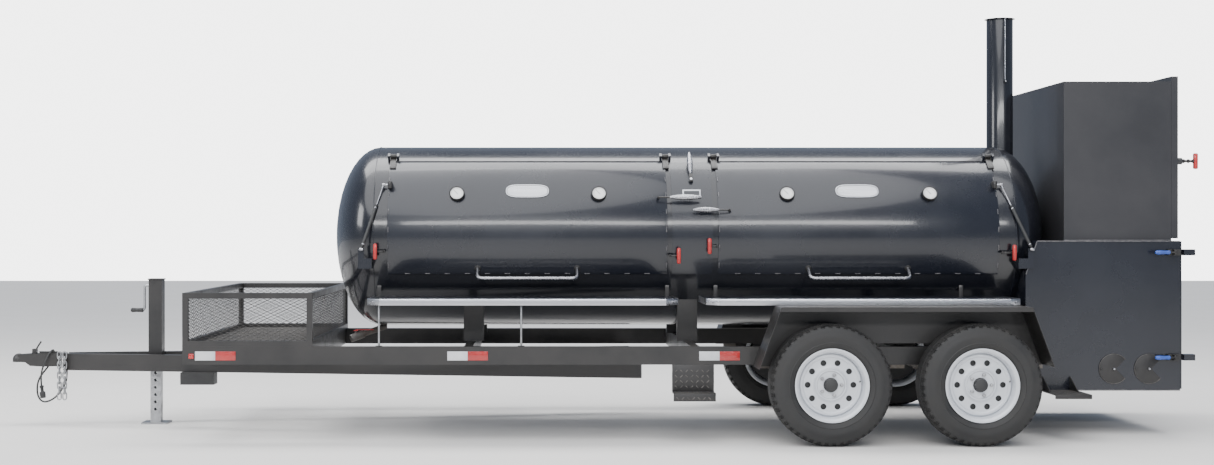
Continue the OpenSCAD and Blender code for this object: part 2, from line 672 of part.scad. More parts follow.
main_frame();
tongue_beams();
coupler();
coupler_latch();
safety_chains();
light_cable();
cable_plug();
jack_post();
jack_leg();
jack_crank();
breakaway_box();
basket_frame();
basket_mesh();
steps();
fenders();
lamps();
axles();
leaf_springs();
tyre(axle_front_x, -1);  // tyre_fn
rim(axle_front_x, -1);  // rim_fn
tyre(axle_rear_x, -1);  // tyre_rn
rim(axle_rear_x, -1);  // rim_rn
tyre(axle_front_x, 1);  // tyre_ff
rim(axle_front_x, 1);  // rim_ff
tyre(axle_rear_x, 1);  // tyre_rf
rim(axle_rear_x, 1);  // rim_rf
tank_shell();
saddles();
baffle_plate();
racks();
tank_fittings();
damper_lever();
door(doors_x[0], hinge_x[0]);  // door_left
door_fittings(doors_x[0], strut_xs[0][1]);  // door_left_fittings
door(doors_x[1], hinge_x[1]);  // door_right
door_fittings(doors_x[1], strut_xs[1][1]);  // door_right_fittings
latch(latches[0]);  // latch_1
latch(latches[1]);  // latch_2
latch(latches[2]);  // latch_3
latch(latches[3]);  // latch_4
strut_cylinder(strut_xs[0]);  // strut_left_cylinder
strut_rod(strut_xs[0]);  // strut_left_rod
strut_cylinder(strut_xs[1]);  // strut_right_cylinder
strut_rod(strut_xs[1]);  // strut_right_rod
shelves();
drain_pipe();
drain_lever();
stack();
stack_lid();
lid_rod();
firebox_shell();
firebox_fittings();
firebox_door();
toggle(toggle_z[0]);  // toggle_lower
toggle(toggle_z[1]);  // toggle_upper
air_damper(damper_x[0]);  // air_damper_1
air_damper(damper_x[1]);  // air_damper_2
cabinet_shell();
cabinet_door();
cabinet_latch();
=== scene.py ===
"""Looks of a trailer-mounted reverse-flow offset smoker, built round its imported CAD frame."""
import sys

import json
import logging
import math
from collections.abc import Callable, Iterator, Sequence
from contextlib import contextmanager
from dataclasses import dataclass, field
from enum import Enum

import bpy
from mathutils import Matrix, Vector

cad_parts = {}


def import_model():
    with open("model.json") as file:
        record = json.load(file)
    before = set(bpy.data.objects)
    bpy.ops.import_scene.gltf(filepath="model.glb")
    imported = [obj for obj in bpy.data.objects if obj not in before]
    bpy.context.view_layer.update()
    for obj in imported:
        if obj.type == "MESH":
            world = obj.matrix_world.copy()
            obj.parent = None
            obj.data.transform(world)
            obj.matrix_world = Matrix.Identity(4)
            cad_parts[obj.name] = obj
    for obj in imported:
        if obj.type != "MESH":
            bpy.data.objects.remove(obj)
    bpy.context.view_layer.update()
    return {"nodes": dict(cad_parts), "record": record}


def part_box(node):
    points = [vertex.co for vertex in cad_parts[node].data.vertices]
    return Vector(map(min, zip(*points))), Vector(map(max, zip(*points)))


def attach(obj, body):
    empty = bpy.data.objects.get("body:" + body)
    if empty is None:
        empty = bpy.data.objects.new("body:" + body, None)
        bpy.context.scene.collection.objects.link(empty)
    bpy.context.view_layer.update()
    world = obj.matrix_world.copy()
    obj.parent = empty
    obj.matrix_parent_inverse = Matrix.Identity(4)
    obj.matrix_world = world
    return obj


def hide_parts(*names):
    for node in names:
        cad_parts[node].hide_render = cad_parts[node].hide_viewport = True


log = logging.getLogger("smoker")
Piece = bpy.types.Object
Point = tuple[float, float, float]
Outline = Sequence[tuple[float, float]]
FORWARD = Matrix.Rotation(-math.pi / 2, 4, "X")
UPRIGHT = Matrix.Rotation(math.pi / 2, 4, "X")
CROSSWISE = Matrix.Rotation(math.pi / 2, 4, "Z")


# ---- Places, selection, edit mode and primitives ----
def shifted(way: Sequence[float]) -> Matrix:
    """Return the matrix that moves a piece by a vector."""
    return Matrix.Translation(way)


def turned(angle: float, axis: str) -> Matrix:
    """Return the matrix that turns a piece by an angle in radians round an axis."""
    return Matrix.Rotation(angle, 4, axis)


def take(obj: Piece) -> None:
    """Select one object alone and make it active."""
    for other in bpy.context.selected_objects:
        other.select_set(False)
    obj.select_set(True)
    bpy.context.view_layer.objects.active = obj


@contextmanager
def editing(obj: Piece, everything: bool = True) -> Iterator[None]:
    """Open an object in edit mode and close it again.

    Args:
        obj: The mesh to work on.
        everything: Whether all of it starts selected; otherwise the picked faces stay.
    """
    take(obj)
    bpy.ops.object.mode_set(mode="EDIT")
    if everything:
        bpy.ops.mesh.select_mode(type="VERT")
        bpy.ops.mesh.select_all(action="SELECT")
    yield
    bpy.ops.object.mode_set(mode="OBJECT")


def pick_faces(obj: Piece, wanted: Callable[[Vector, Vector], bool]) -> int:
    """Select the faces that a test on their centre and normal accepts.

    Args:
        obj: The mesh.
        wanted: Takes a face's centre and normal.

    Returns:
        How many faces are selected.
    """
    with editing(obj):
        bpy.ops.mesh.select_mode(type="FACE")
        bpy.ops.mesh.select_all(action="DESELECT")
    for face in obj.data.polygons:
        face.select = wanted(face.center, face.normal)
    return sum(face.select for face in obj.data.polygons)


def settle(obj: Piece, place: Matrix | None = None) -> Piece:
    """Put an object at a place and move that place into its mesh.

    Args:
        obj: The object to settle.
        place: Where its own origin goes; left as it stands when missing.

    Returns:
        The same object, at the origin.
    """
    if place is not None:
        obj.matrix_world = place
    take(obj)
    bpy.ops.object.transform_apply(location=True, rotation=True, scale=True)
    return obj


def apply_modifier(obj: Piece, kind: str, **settings: object) -> None:
    """Add a modifier with its settings and apply it at once."""
    take(obj)
    modifier = obj.modifiers.new(kind.title(), kind)
    for name, value in settings.items():
        setattr(modifier, name, value)
    bpy.ops.object.modifier_apply(modifier=modifier.name)


def soften(obj: Piece, width: float, segments: int = 2) -> Piece:
    """Round the sharp edges of a mesh and return it."""
    apply_modifier(obj, "BEVEL", width=width, segments=segments, limit_method="ANGLE", angle_limit=0.6)
    return obj


def profile(name: str, points: Outline, closed: bool) -> Piece:
    """Draw a chain of edges in the XZ plane by extruding one vertex.

    Args:
        name: Name of the new object.
        points: Corners as (x, z).
        closed: Whether the last corner joins the first.

    Returns:
        The drawn chain.
    """
    bpy.ops.mesh.primitive_plane_add(size=0.01)
    obj = bpy.context.object
    obj.name = name
    path = [Vector((x, 0, z)) for x, z in points]
    with editing(obj):
        bpy.ops.mesh.merge(type="CENTER")
        bpy.ops.transform.translate(value=path[0])
        for a, b in zip(path, path[1:] + path[:1] * closed):
            bpy.ops.mesh.extrude_region_move(TRANSFORM_OT_translate={"value": b - a})
        bpy.ops.mesh.select_all(action="SELECT")
        bpy.ops.mesh.remove_doubles(threshold=1e-6)
    return obj


def lathe(name: str, points: Outline, closed: bool = False, steps: int = 48,
          place: Matrix | None = None) -> Piece:
    """Turn an outline of (radius, height) round Z.

    Args:
        name: Name of the new object.
        points: The outline.
        closed: Whether the outline is a loop.
        steps: Steps in the full turn.
        place: Where the turned piece goes.

    Returns:
        The turned piece, settled.
    """
    obj = profile(name, points, closed)
    with editing(obj):
        bpy.ops.mesh.spin(steps=steps, angle=math.tau, center=(0, 0, 0), axis=(0, 0, 1))
        bpy.ops.mesh.select_all(action="SELECT")
        bpy.ops.mesh.remove_doubles(threshold=1e-5)
        bpy.ops.mesh.normals_make_consistent(inside=False)
    return settle(obj, place)


def slab(name: str, low: Sequence[float], high: Sequence[float], edge: float = 0.002) -> Piece:
    """Make a plate or block between two corners, with rounded edges."""
    a, b = Vector(low), Vector(high)
    bpy.ops.mesh.primitive_cube_add(size=1, location=(a + b) / 2, scale=b - a)
    obj = bpy.context.object
    obj.name = name
    settle(obj)
    with editing(obj):
        bpy.ops.mesh.bevel(offset=edge, segments=2, affect="EDGES", clamp_overlap=True)
    return obj


def bar(name: str, start: Sequence[float], end: Sequence[float], radius: float, sides: int = 24) -> Piece:
    """Make a round bar between two points, with eased ends."""
    a, b = Vector(start), Vector(end)
    turn = (b - a).to_track_quat("Z", "Y").to_euler()
    bpy.ops.mesh.primitive_cylinder_add(vertices=sides, radius=radius, depth=(b - a).length,
                                        location=(a + b) / 2, rotation=turn)
    obj = bpy.context.object
    obj.name = name
    settle(obj)
    return soften(obj, min(0.0015, radius * 0.25))


def tube(name: str, points: Sequence[Sequence[float]], radius: float, closed: bool = False) -> Piece:
    """Run a round wire along points and make it a mesh."""
    curve = bpy.data.curves.new(name, "CURVE")
    curve.dimensions = "3D"
    curve.bevel_depth = radius
    curve.bevel_resolution = 3
    curve.use_fill_caps = not closed
    spline = curve.splines.new("POLY")
    spline.points.add(len(points) - 1)
    for node, point in zip(spline.points, points):
        node.co = (*point, 1)
    spline.use_cyclic_u = closed
    obj = bpy.data.objects.new(name, curve)
    bpy.context.collection.objects.link(obj)
    take(obj)
    bpy.ops.object.convert(target="MESH")
    return bpy.context.object


def rounded(points: Sequence[Sequence[float]], radius: float, steps: int = 6) -> list[Vector]:
    """Replace each inner corner of a route by a short arc."""
    route = [Vector(p) for p in points]
    out = [route[0]]
    for before, corner, after in zip(route, route[1:], route[2:]):
        a = corner + (before - corner).normalized() * min(radius, (before - corner).length / 2)
        b = corner + (after - corner).normalized() * min(radius, (after - corner).length / 2)
        out += [a.lerp(corner, t).lerp(corner.lerp(b, t), t) for t in (i / steps for i in range(steps + 1))]
    return [*out, route[-1]]


def plate(name: str, points: Outline, thickness: float, place: Matrix | None = None,
          edge: float = 0.001) -> Piece:
    """Fill an outline drawn in XZ and give it a thickness along +Y.

    Args:
        name: Name of the new object.
        points: The outline's corners.
        thickness: How thick the plate is.
        place: Where the plate goes.
        edge: How far its edges are rounded.

    Returns:
        The plate, settled.
    """
    obj = profile(name, points, True)
    with editing(obj):
        bpy.ops.mesh.edge_face_add()
        bpy.ops.mesh.extrude_region_move(TRANSFORM_OT_translate={"value": (0, thickness, 0)})
        bpy.ops.mesh.select_all(action="SELECT")
        bpy.ops.mesh.normals_make_consistent(inside=False)
    return soften(settle(obj, place), edge)


def copy_to(obj: Piece, place: Matrix) -> Piece:
    """Copy a settled piece, mesh and all, to another place."""
    twin = obj.copy()
    twin.data = obj.data.copy()
    bpy.context.collection.objects.link(twin)
    return settle(twin, place)


def join(name: str, parts: Sequence[Piece]) -> Piece:
    """Join parts into the first of them under a new name."""
    take(parts[0])
    for part in parts:
        part.select_set(True)
    if len(parts) > 1:
        bpy.ops.object.join()
    parts[0].name = name
    return parts[0]


def from_to(start: Sequence[float], direction: Sequence[float]) -> Matrix:
    """Place a piece drawn along Z at a point, with Z turned to a direction."""
    return shifted(Vector(start)) @ Vector(direction).to_track_quat("Z", "Y").to_matrix().to_4x4()


# ---- Finishes ----
class Nodes:
    """Short calls to lay out one node tree."""

    def __init__(self, tree: bpy.types.NodeTree) -> None:
        """Start on a tree."""
        self.tree = tree

    def add(self, kind: str, **settings: object) -> bpy.types.Node:
        """Add a node; plain settings are attributes, and in_NAME settings are input values."""
        node = self.tree.nodes.new("ShaderNode" + kind)
        for name, value in settings.items():
            if name.startswith("in_"):
                node.inputs[name[3:].replace("_", " ")].default_value = value
            else:
                setattr(node, name, value)
        return node

    def link(self, source: bpy.types.NodeSocket, target: bpy.types.NodeSocket) -> None:
        """Join two sockets."""
        self.tree.links.new(source, target)

    def math(self, operation: str, a: bpy.types.NodeSocket | float,
             b: bpy.types.NodeSocket | float = 0.0) -> bpy.types.NodeSocket:
        """Add a Math node and return its result."""
        node = self.add("Math", operation=operation)
        for socket, value in zip(node.inputs, (a, b)):
            if isinstance(value, float | int):
                socket.default_value = value
            else:
                self.link(value, socket)
        return node.outputs[0]


def surface_wear() -> bpy.types.NodeTree:
    """Build once the group that gives every finish its blotches, grain and settled dust.

    Returns:
        The group, with outputs Blotch, Grain and Dust.
    """
    tree = bpy.data.node_groups.get("surface_wear")
    if tree:
        return tree
    tree = bpy.data.node_groups.new("surface_wear", "ShaderNodeTree")
    for name, kind, value in (("Vector", "NodeSocketVector", None), ("Blotch Scale", "NodeSocketFloat", 3.0),
                              ("Grain Scale", "NodeSocketFloat", 300.0),
                              ("Dust Amount", "NodeSocketFloat", 0.1)):
        socket = tree.interface.new_socket(name, in_out="INPUT", socket_type=kind)
        if value is not None:
            socket.default_value = value
    for name in ("Blotch", "Grain", "Dust"):
        tree.interface.new_socket(name, in_out="OUTPUT", socket_type="NodeSocketFloat")
    n = Nodes(tree)
    start = tree.nodes.new("NodeGroupInput")
    end = tree.nodes.new("NodeGroupOutput")
    noises = {}
    for name, detail in (("Blotch", 5.0), ("Grain", 3.0)):
        noise = n.add("TexNoise", in_Detail=detail, in_Roughness=0.62)
        n.link(start.outputs["Vector"], noise.inputs["Vector"])
        n.link(start.outputs[f"{name} Scale"], noise.inputs["Scale"])
        ramp = n.add("MapRange", in_From_Min=0.32, in_From_Max=0.68)
        n.link(noise.outputs["Fac"], ramp.inputs["Value"])
        n.link(ramp.outputs["Result"], end.inputs[name])
        noises[name] = ramp.outputs["Result"]
    facing = n.add("SeparateXYZ")
    n.link(n.add("NewGeometry").outputs["Normal"], facing.inputs["Vector"])
    up = n.math("MAXIMUM", facing.outputs["Z"], 0.0)
    dust = n.math("MULTIPLY", n.math("POWER", up, 3.0), noises["Blotch"])
    n.link(n.math("MULTIPLY", dust, start.outputs["Dust Amount"]), end.inputs["Dust"])
    return tree


@dataclass(frozen=True)
class Finish:
    """A painted, metal, rubber or plastic surface."""

    name: str
    base: Point
    worn: Point
    rough: float = 0.4
    rough_more: float = 0.15
    metal: float = 0.0
    coat: float = 0.0
    bump: float = 0.05
    blotch: float = 3.0
    grain: float = 300.0
    dust: float = 0.06
    stretch: Point = (1.0, 1.0, 1.0)

    def material(self) -> bpy.types.Material:
        """Build the material once and return it."""
        found = bpy.data.materials.get(self.name)
        if found:
            return found
        mat = bpy.data.materials.new(self.name)
        mat.use_nodes = True
        mat.diffuse_color = (*self.base, 1)
        n = Nodes(mat.node_tree)
        shader = mat.node_tree.nodes["Principled BSDF"]
        shader.inputs["Metallic"].default_value = self.metal
        shader.inputs["Coat Weight"].default_value = self.coat
        shader.inputs["Coat Roughness"].default_value = 0.08
        mapping = n.add("Mapping", in_Scale=self.stretch)
        n.link(n.add("TexCoord").outputs["Object"], mapping.inputs["Vector"])
        wear = n.add("Group", node_tree=surface_wear(), in_Blotch_Scale=self.blotch,
                     in_Grain_Scale=self.grain,
                     in_Dust_Amount=self.dust)
        n.link(mapping.outputs["Vector"], wear.inputs["Vector"])
        tone = n.add("Mix", data_type="RGBA")
        tone.inputs["A"].default_value = (*self.base, 1)
        tone.inputs["B"].default_value = (*self.worn, 1)
        n.link(wear.outputs["Blotch"], tone.inputs["Factor"])
        dusty = n.add("Mix", data_type="RGBA")
        dusty.inputs["B"].default_value = (0.36, 0.33, 0.29, 1)
        n.link(wear.outputs["Dust"], dusty.inputs["Factor"])
        n.link(tone.outputs["Result"], dusty.inputs["A"])
        n.link(dusty.outputs["Result"], shader.inputs["Base Color"])
        rough = n.add("MapRange", in_To_Min=self.rough, in_To_Max=self.rough + self.rough_more)
        n.link(wear.outputs["Blotch"], rough.inputs["Value"])
        n.link(rough.outputs["Result"], shader.inputs["Roughness"])
        bump = n.add("Bump", in_Strength=self.bump, in_Distance=0.002)
        n.link(wear.outputs["Grain"], bump.inputs["Height"])
        n.link(bump.outputs["Normal"], shader.inputs["Normal"])
        return mat


@dataclass(frozen=True)
class DialFace:
    """A white gauge dial with a ring of dark marks, drawn on the disc's own UV map."""

    name: str = "dial_face"
    marks: float = 24.0

    def material(self) -> bpy.types.Material:
        """Build the material once and return it."""
        found = bpy.data.materials.get(self.name)
        if found:
            return found
        mat = bpy.data.materials.new(self.name)
        mat.use_nodes = True
        n = Nodes(mat.node_tree)
        shader = mat.node_tree.nodes["Principled BSDF"]
        shader.inputs["Roughness"].default_value = 0.3
        shader.inputs["Coat Weight"].default_value = 0.8
        middle = n.add("Mapping", in_Location=(-0.5, -0.5, 0))
        n.link(n.add("UVMap").outputs["UV"], middle.inputs["Vector"])
        axes = n.add("SeparateXYZ")
        n.link(middle.outputs["Vector"], axes.inputs["Vector"])
        radius = n.add("VectorMath", operation="LENGTH")
        n.link(middle.outputs["Vector"], radius.inputs[0])
        around = n.math("ARCTAN2", axes.outputs["Y"], axes.outputs["X"])
        turn = n.math("FRACT", n.math("MULTIPLY", n.math("ADD", around, math.pi), self.marks / math.tau))
        thin = n.math("LESS_THAN", n.math("ABSOLUTE", n.math("SUBTRACT", turn, 0.5)), 0.11)
        outer = n.math("MULTIPLY", n.math("GREATER_THAN", radius.outputs["Value"], 0.36),
                       n.math("LESS_THAN", radius.outputs["Value"], 0.45))
        rim = n.math("GREATER_THAN", radius.outputs["Value"], 0.485)
        ink = n.math("MAXIMUM", n.math("MULTIPLY", thin, outer), rim)
        tone = n.add("Mix", data_type="RGBA")
        tone.inputs["A"].default_value = (0.86, 0.86, 0.83, 1)
        tone.inputs["B"].default_value = (0.03, 0.03, 0.035, 1)
        n.link(ink, tone.inputs["Factor"])
        n.link(tone.outputs["Result"], shader.inputs["Base Color"])
        return mat


TANK_BLACK = Finish("tank_black", (0.006, 0.0068, 0.010), (0.010, 0.011, 0.016), 0.20, 0.07, 0.0, 0.5, 0.012,
                    1.4, 420, 0.03)
DOOR_BLACK = Finish("door_black", (0.007, 0.0085, 0.014), (0.012, 0.014, 0.021), 0.23, 0.08, 0.0, 0.45, 0.012,
                    1.6, 420, 0.03)
CABINET_BLACK = Finish("cabinet_black", (0.022, 0.022, 0.025), (0.036, 0.035, 0.038), 0.34, 0.12, 0.1, 0.2,
                       0.02, 1.5, 380, 0.03)
FRAME_BLACK = Finish("frame_black", (0.011, 0.0105, 0.0105), (0.022, 0.020, 0.019), 0.36, 0.2, 0.0, 0.15,
                     0.05, 5, 420, 0.10)
MESH_BLACK = Finish("mesh_black", (0.02, 0.019, 0.019), (0.05, 0.045, 0.04), 0.4, 0.2, 0.1, 0.1, 0.1, 9, 400,
                    0.1)
WELD_BEAD = Finish("weld_bead", (0.10, 0.10, 0.11), (0.26, 0.25, 0.25), 0.32, 0.2, 0.7, 0.0, 0.6, 40, 700,
                   0.02)
BRUSHED_STEEL = Finish("brushed_steel", (0.60, 0.61, 0.63), (0.42, 0.43, 0.46), 0.22, 0.16, 1.0, 0.0, 0.05, 6,
                       420, 0.02, (0.2, 3, 3))
BRIGHT_WIRE = Finish("bright_wire", (0.50, 0.50, 0.52), (0.28, 0.28, 0.30), 0.20, 0.16, 1.0, 0.0, 0.08, 30,
                     900, 0.0)
ZINC_PLATE = Finish("zinc_plate", (0.46, 0.47, 0.48), (0.30, 0.30, 0.31), 0.34, 0.2, 0.95, 0.0, 0.12, 22, 500,
                    0.05)
WHEEL_SILVER = Finish("wheel_silver", (0.42, 0.43, 0.45), (0.30, 0.30, 0.32), 0.30, 0.14, 0.85, 0.25, 0.05, 7,
                      700, 0.04)
TYRE_RUBBER = Finish("tyre_rubber", (0.011, 0.011, 0.0115), (0.024, 0.023, 0.022), 0.55, 0.2, 0.0, 0.0, 0.15,
                     9, 420, 0.08)
TREAD_WORN = Finish("tread_worn", (0.05, 0.047, 0.045), (0.14, 0.13, 0.12), 0.34, 0.2, 0.5, 0.0, 0.1, 30, 500,
                    0.05)
CABLE_RUBBER = Finish("cable_rubber", (0.014, 0.014, 0.015), (0.03, 0.03, 0.03), 0.45, 0.15, 0.0, 0.0, 0.1,
                      14, 600, 0.04)
RED_GRIP = Finish("red_grip", (0.56, 0.03, 0.025), (0.40, 0.02, 0.02), 0.32, 0.16, 0.0, 0.2, 0.1, 26, 500,
                  0.03)
BLUE_GRIP = Finish("blue_grip", (0.03, 0.10, 0.46), (0.02, 0.06, 0.30), 0.30, 0.16, 0.0, 0.25, 0.1, 26, 500,
                   0.03)
RED_LENS = Finish("red_lens", (0.48, 0.012, 0.01), (0.30, 0.006, 0.006), 0.12, 0.08, 0.0, 0.9, 0.5, 12, 260,
                  0.02)
WHITE_TAPE = Finish("white_tape", (0.72, 0.73, 0.74), (0.56, 0.57, 0.6), 0.3, 0.12, 0.1, 0.4, 0.6, 10, 300,
                    0.03)
BARE_STEEL = Finish("bare_steel", (0.20, 0.19, 0.18), (0.10, 0.085, 0.07), 0.42, 0.25, 0.85, 0.0, 0.2, 8, 300,
                    0.08)
BLACK_PLASTIC = Finish("black_plastic", (0.015, 0.015, 0.016), (0.03, 0.03, 0.03), 0.42, 0.15, 0.0, 0.0, 0.3,
                       10, 700, 0.1)
PALE_FLOOR = Finish("pale_floor", (0.78, 0.76, 0.73), (0.74, 0.72, 0.69), 0.6, 0.15, 0.0, 0.0, 0.02, 0.6, 40,
                    0.0)
DIAL = DialFace()


class Slot(Enum):
    """The record's material slots, each with the finish that carried-over CAD nodes take from it."""

    TANK = ("tank_paint", TANK_BLACK)
    FRAME = ("frame_paint", FRAME_BLACK)
    BASKET = ("basket_paint", FRAME_BLACK)
    STAINLESS = ("stainless", BRUSHED_STEEL)
    ZINC = ("zinc", ZINC_PLATE)
    WHEEL = ("wheel_silver", WHEEL_SILVER)
    TYRE = ("tyre", TYRE_RUBBER)
    CABLE = ("cable_black", CABLE_RUBBER)
    RED = ("grip_red", RED_GRIP)
    BLUE = ("grip_blue", BLUE_GRIP)
    LAMP = ("lamp_red", RED_LENS)
    STEEL = ("raw_steel", BARE_STEEL)
    PLASTIC = ("box_plastic", BLACK_PLASTIC)


def paint(obj: Piece, finish: Finish | DialFace) -> Piece:
    """Give an object one finish and return it."""
    obj.data.materials.clear()
    obj.data.materials.append(finish.material())
    return obj


def fit(obj: Piece, body: str, slot: Slot, *nodes: str, angle: float = 35) -> Piece:
    """Shade a finished piece, tie it to its body and hide the CAD nodes it stands for.

    Args:
        obj: The piece.
        body: The CAD body that it rides on.
        slot: The record slot of its finish; not used.
        nodes: CAD nodes that it replaces.
        angle: Edges sharper than this stay crisp, in degrees.

    Returns:
        The same piece.
    """
    take(obj)
    bpy.ops.object.shade_smooth_by_angle(angle=math.radians(angle))
    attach(obj, body)
    if nodes:
        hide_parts(*nodes)
    log.info("%s rides on %s, %d faces", obj.name, body, len(obj.data.polygons))
    return obj


# ---- Where things are round the tank ----
@dataclass(frozen=True)
class TankAxis:
    """The tank's axis and radius; angles are degrees above the door side's horizontal."""

    z: float = 1.166
    radius: float = 0.551

    def at(self, x: float, radius: float, angle: float) -> Vector:
        """Return a point at a radius and an angle round the axis."""
        a = math.radians(angle)
        return Vector((x, -radius * math.cos(a), self.z + radius * math.sin(a)))

    def out(self, angle: float) -> Vector:
        """Return the outward direction at an angle."""
        a = math.radians(angle)
        return Vector((0, -math.cos(a), math.sin(a)))

    def frame(self, x: float, radius: float, angle: float) -> Matrix:
        """Return a place whose Z points outwards and whose X runs along the tank."""
        z = self.out(angle)
        side = Vector((1, 0, 0))
        rows = Matrix((side, z.cross(side), z)).transposed().to_4x4()
        return shifted(self.at(x, radius, angle)) @ rows


AXIS = TankAxis()


def arc_sheet(name: str, radius: float, x: Sequence[float], angles: Sequence[float], thick: float) -> Piece:
    """Spin a curved plate round the tank's axis.

    Args:
        name: Name of the new object.
        radius: Its outer radius.
        x: Where it starts and ends along the tank.
        angles: Its lower and upper edge, in degrees.
        thick: How thick it is, inwards.

    Returns:
        The plate, settled.
    """
    obj = profile(name, [(radius, x[0]), (radius, x[1])], False)
    with editing(obj):
        steps = max(2, round((angles[1] - angles[0]) / 1.75))
        bpy.ops.mesh.spin(steps=steps, angle=math.radians(angles[1] - angles[0]), center=(0, 0, 0),
                          axis=(0, 0, 1))
        bpy.ops.mesh.select_all(action="SELECT")
        bpy.ops.mesh.remove_doubles(threshold=1e-6)
    turn = turned(-math.radians(90 + angles[0]), "X") @ turned(math.pi / 2, "Y")
    settle(obj, shifted((0, 0, AXIS.z)) @ turn)
    face = obj.data.polygons[len(obj.data.polygons) // 2]
    if (face.center - Vector((face.center.x, 0, AXIS.z))).dot(face.normal) < 0:
        with editing(obj):
            bpy.ops.mesh.flip_normals()
    apply_modifier(obj, "SOLIDIFY", thickness=thick, offset=-1)
    return obj


def spindle(name: str, start: Vector, end: Vector, thick: float = 0.018, coils: int = 16) -> Piece:
    """Turn a tapered pull wound from wire, between two points."""
    length = (end - start).length
    outline = [(0.0, 0.0)]
    for i in range(2 * coils + 1):
        t = i / (2 * coils)
        outline.append((0.006 + (thick - 0.006) * math.sin(math.pi * t) ** 0.7 - 0.0016 * (i % 2),
                        t * length))
    return paint(lathe(name, [*outline, (0.0, length)], steps=24, place=from_to(start, end - start)),
                 BRIGHT_WIRE)


# ---- Sub-assemblies ----
@dataclass
class LightCable:
    """The trailer's light cable, hung in a loop over the coupler, with its plug."""

    thickness: float = 0.011
    plug_tilt: float = 172.0
    route: list[Point] = field(default_factory=lambda: [
        (-3.240, -0.034, 0.334), (-3.240, -0.034, 0.304), (-3.246, -0.032, 0.266), (-3.264, -0.029, 0.226),
        (-3.290, -0.024, 0.190), (-3.320, -0.018, 0.160), (-3.354, -0.012, 0.140), (-3.388, -0.007, 0.133),
        (-3.415, -0.002, 0.146), (-3.431, 0.003, 0.173), (-3.437, 0.008, 0.210), (-3.435, 0.014, 0.248),
        (-3.425, 0.025, 0.282), (-3.409, 0.039, 0.310), (-3.391, 0.052, 0.336), (-3.374, 0.060, 0.363),
        (-3.360, 0.062, 0.392), (-3.348, 0.054, 0.423), (-3.340, 0.031, 0.446), (-3.338, 0.000, 0.454),
        (-3.342, -0.031, 0.446), (-3.352, -0.054, 0.423), (-3.364, -0.064, 0.392), (-3.376, -0.069, 0.360),
        (-3.385, -0.071, 0.328), (-3.389, -0.071, 0.296), (-3.389, -0.071, 0.266), (-3.387, -0.071, 0.240)])

    def smooth_route(self, steps: int = 6) -> list[Vector]:
        """Return the route with points added on one smooth curve through its own."""
        p = [Vector(q) for q in self.route]
        out = []
        for i in range(len(p) - 1):
            a, b, c, d = p[max(i - 1, 0)], p[i], p[i + 1], p[min(i + 2, len(p) - 1)]
            for t in (k / steps for k in range(steps)):
                out.append(0.5 * (2 * b + (c - a) * t + (2 * a - 5 * b + 4 * c - d) * t * t
                                  + (3 * b - a - 3 * c + d) * t**3))
        return [*out, p[-1]]

    def build(self) -> None:
        line = self.smooth_route()
        cable = paint(tube("light_cable_run", line, self.thickness / 2), CABLE_RUBBER)
        fit(cable, "trailer", Slot.CABLE, "light_cable")
        body = slab("light_plug", (-0.015, -0.012, 0.038), (0.015, 0.012, 0.078), 0.003)
        ridges = [slab("rib", (-0.0158, -0.0128, z), (0.0158, 0.0128, z + 0.003), 0.001)
                  for z in (0.044, 0.051, 0.058)]
        collar = lathe("collar",
                       [(0, 0), (0.011, 0), (0.013, 0.002), (0.013, 0.012), (0.0095, 0.015), (0.0095, 0.0385),
                        (0, 0.0385)])
        plug = join("light_plug", [body, collar, *ridges])
        settle(plug, shifted((-3.387, -0.071, 0.2398)) @ turned(math.radians(self.plug_tilt), "Y"))
        fit(paint(plug, CABLE_RUBBER), "trailer", Slot.CABLE, "cable_plug")


@dataclass
class Tank:
    """The tank's shell with its two door openings, and the weld seams of its heads."""

    start: float = -1.286
    end: float = 2.504
    dome: float = 0.275
    wall: float = 0.008
    openings: tuple[tuple[float, float], ...] = ((-1.186, 0.428), (0.768, 2.385))
    opening_angles: tuple[float, float] = (-21.0, 51.0)

    def build(self) -> None:
        """Turn the shell, cut the openings and run the seams."""
        r, quarter = AXIS.radius, [i * math.pi / 24 for i in range(13)]
        outline = [(r * math.sin(t), self.start - self.dome * math.cos(t)) for t in quarter]
        outline += [(r, x) for pair in self.openings for x in pair]
        outline += [(r * math.cos(t), self.end + self.dome * math.sin(t)) for t in quarter]
        shell = lathe("tank_plate", outline, steps=120,
                      place=shifted((0, 0, AXIS.z)) @ turned(math.pi / 2, "Y"))

        def in_opening(centre: Vector, _: Vector) -> bool:
            """Say whether a face lies in a door opening."""
            angle = math.degrees(math.atan2(centre.z - AXIS.z, -centre.y))
            low, high = self.opening_angles
            return low < angle < high and any(a < centre.x < b for a, b in self.openings)

        pick_faces(shell, in_opening)
        with editing(shell, everything=False):
            bpy.ops.mesh.delete(type="FACE")
        apply_modifier(shell, "SOLIDIFY", thickness=self.wall, offset=-1)
        fit(paint(shell, TANK_BLACK), "trailer", Slot.TANK, "tank_shell")
        rings = []
        for x in (self.start - 0.002, self.end + 0.002):
            circle = [(x, 0.5512 * math.cos(a), AXIS.z + 0.5512 * math.sin(a))
                      for a in (i * math.tau / 120 for i in range(120))]
            rings.append(tube("seam", circle, 0.0028, closed=True))
        for a, b in self.openings:
            rings.append(bar("rain_strip", AXIS.at(a - 0.02, 0.5525, 54.6), AXIS.at(b + 0.02, 0.5525, 54.6),
                             0.0022, 8))
        fit(paint(join("tank_seams", rings), DOOR_BLACK), "trailer", Slot.TANK)


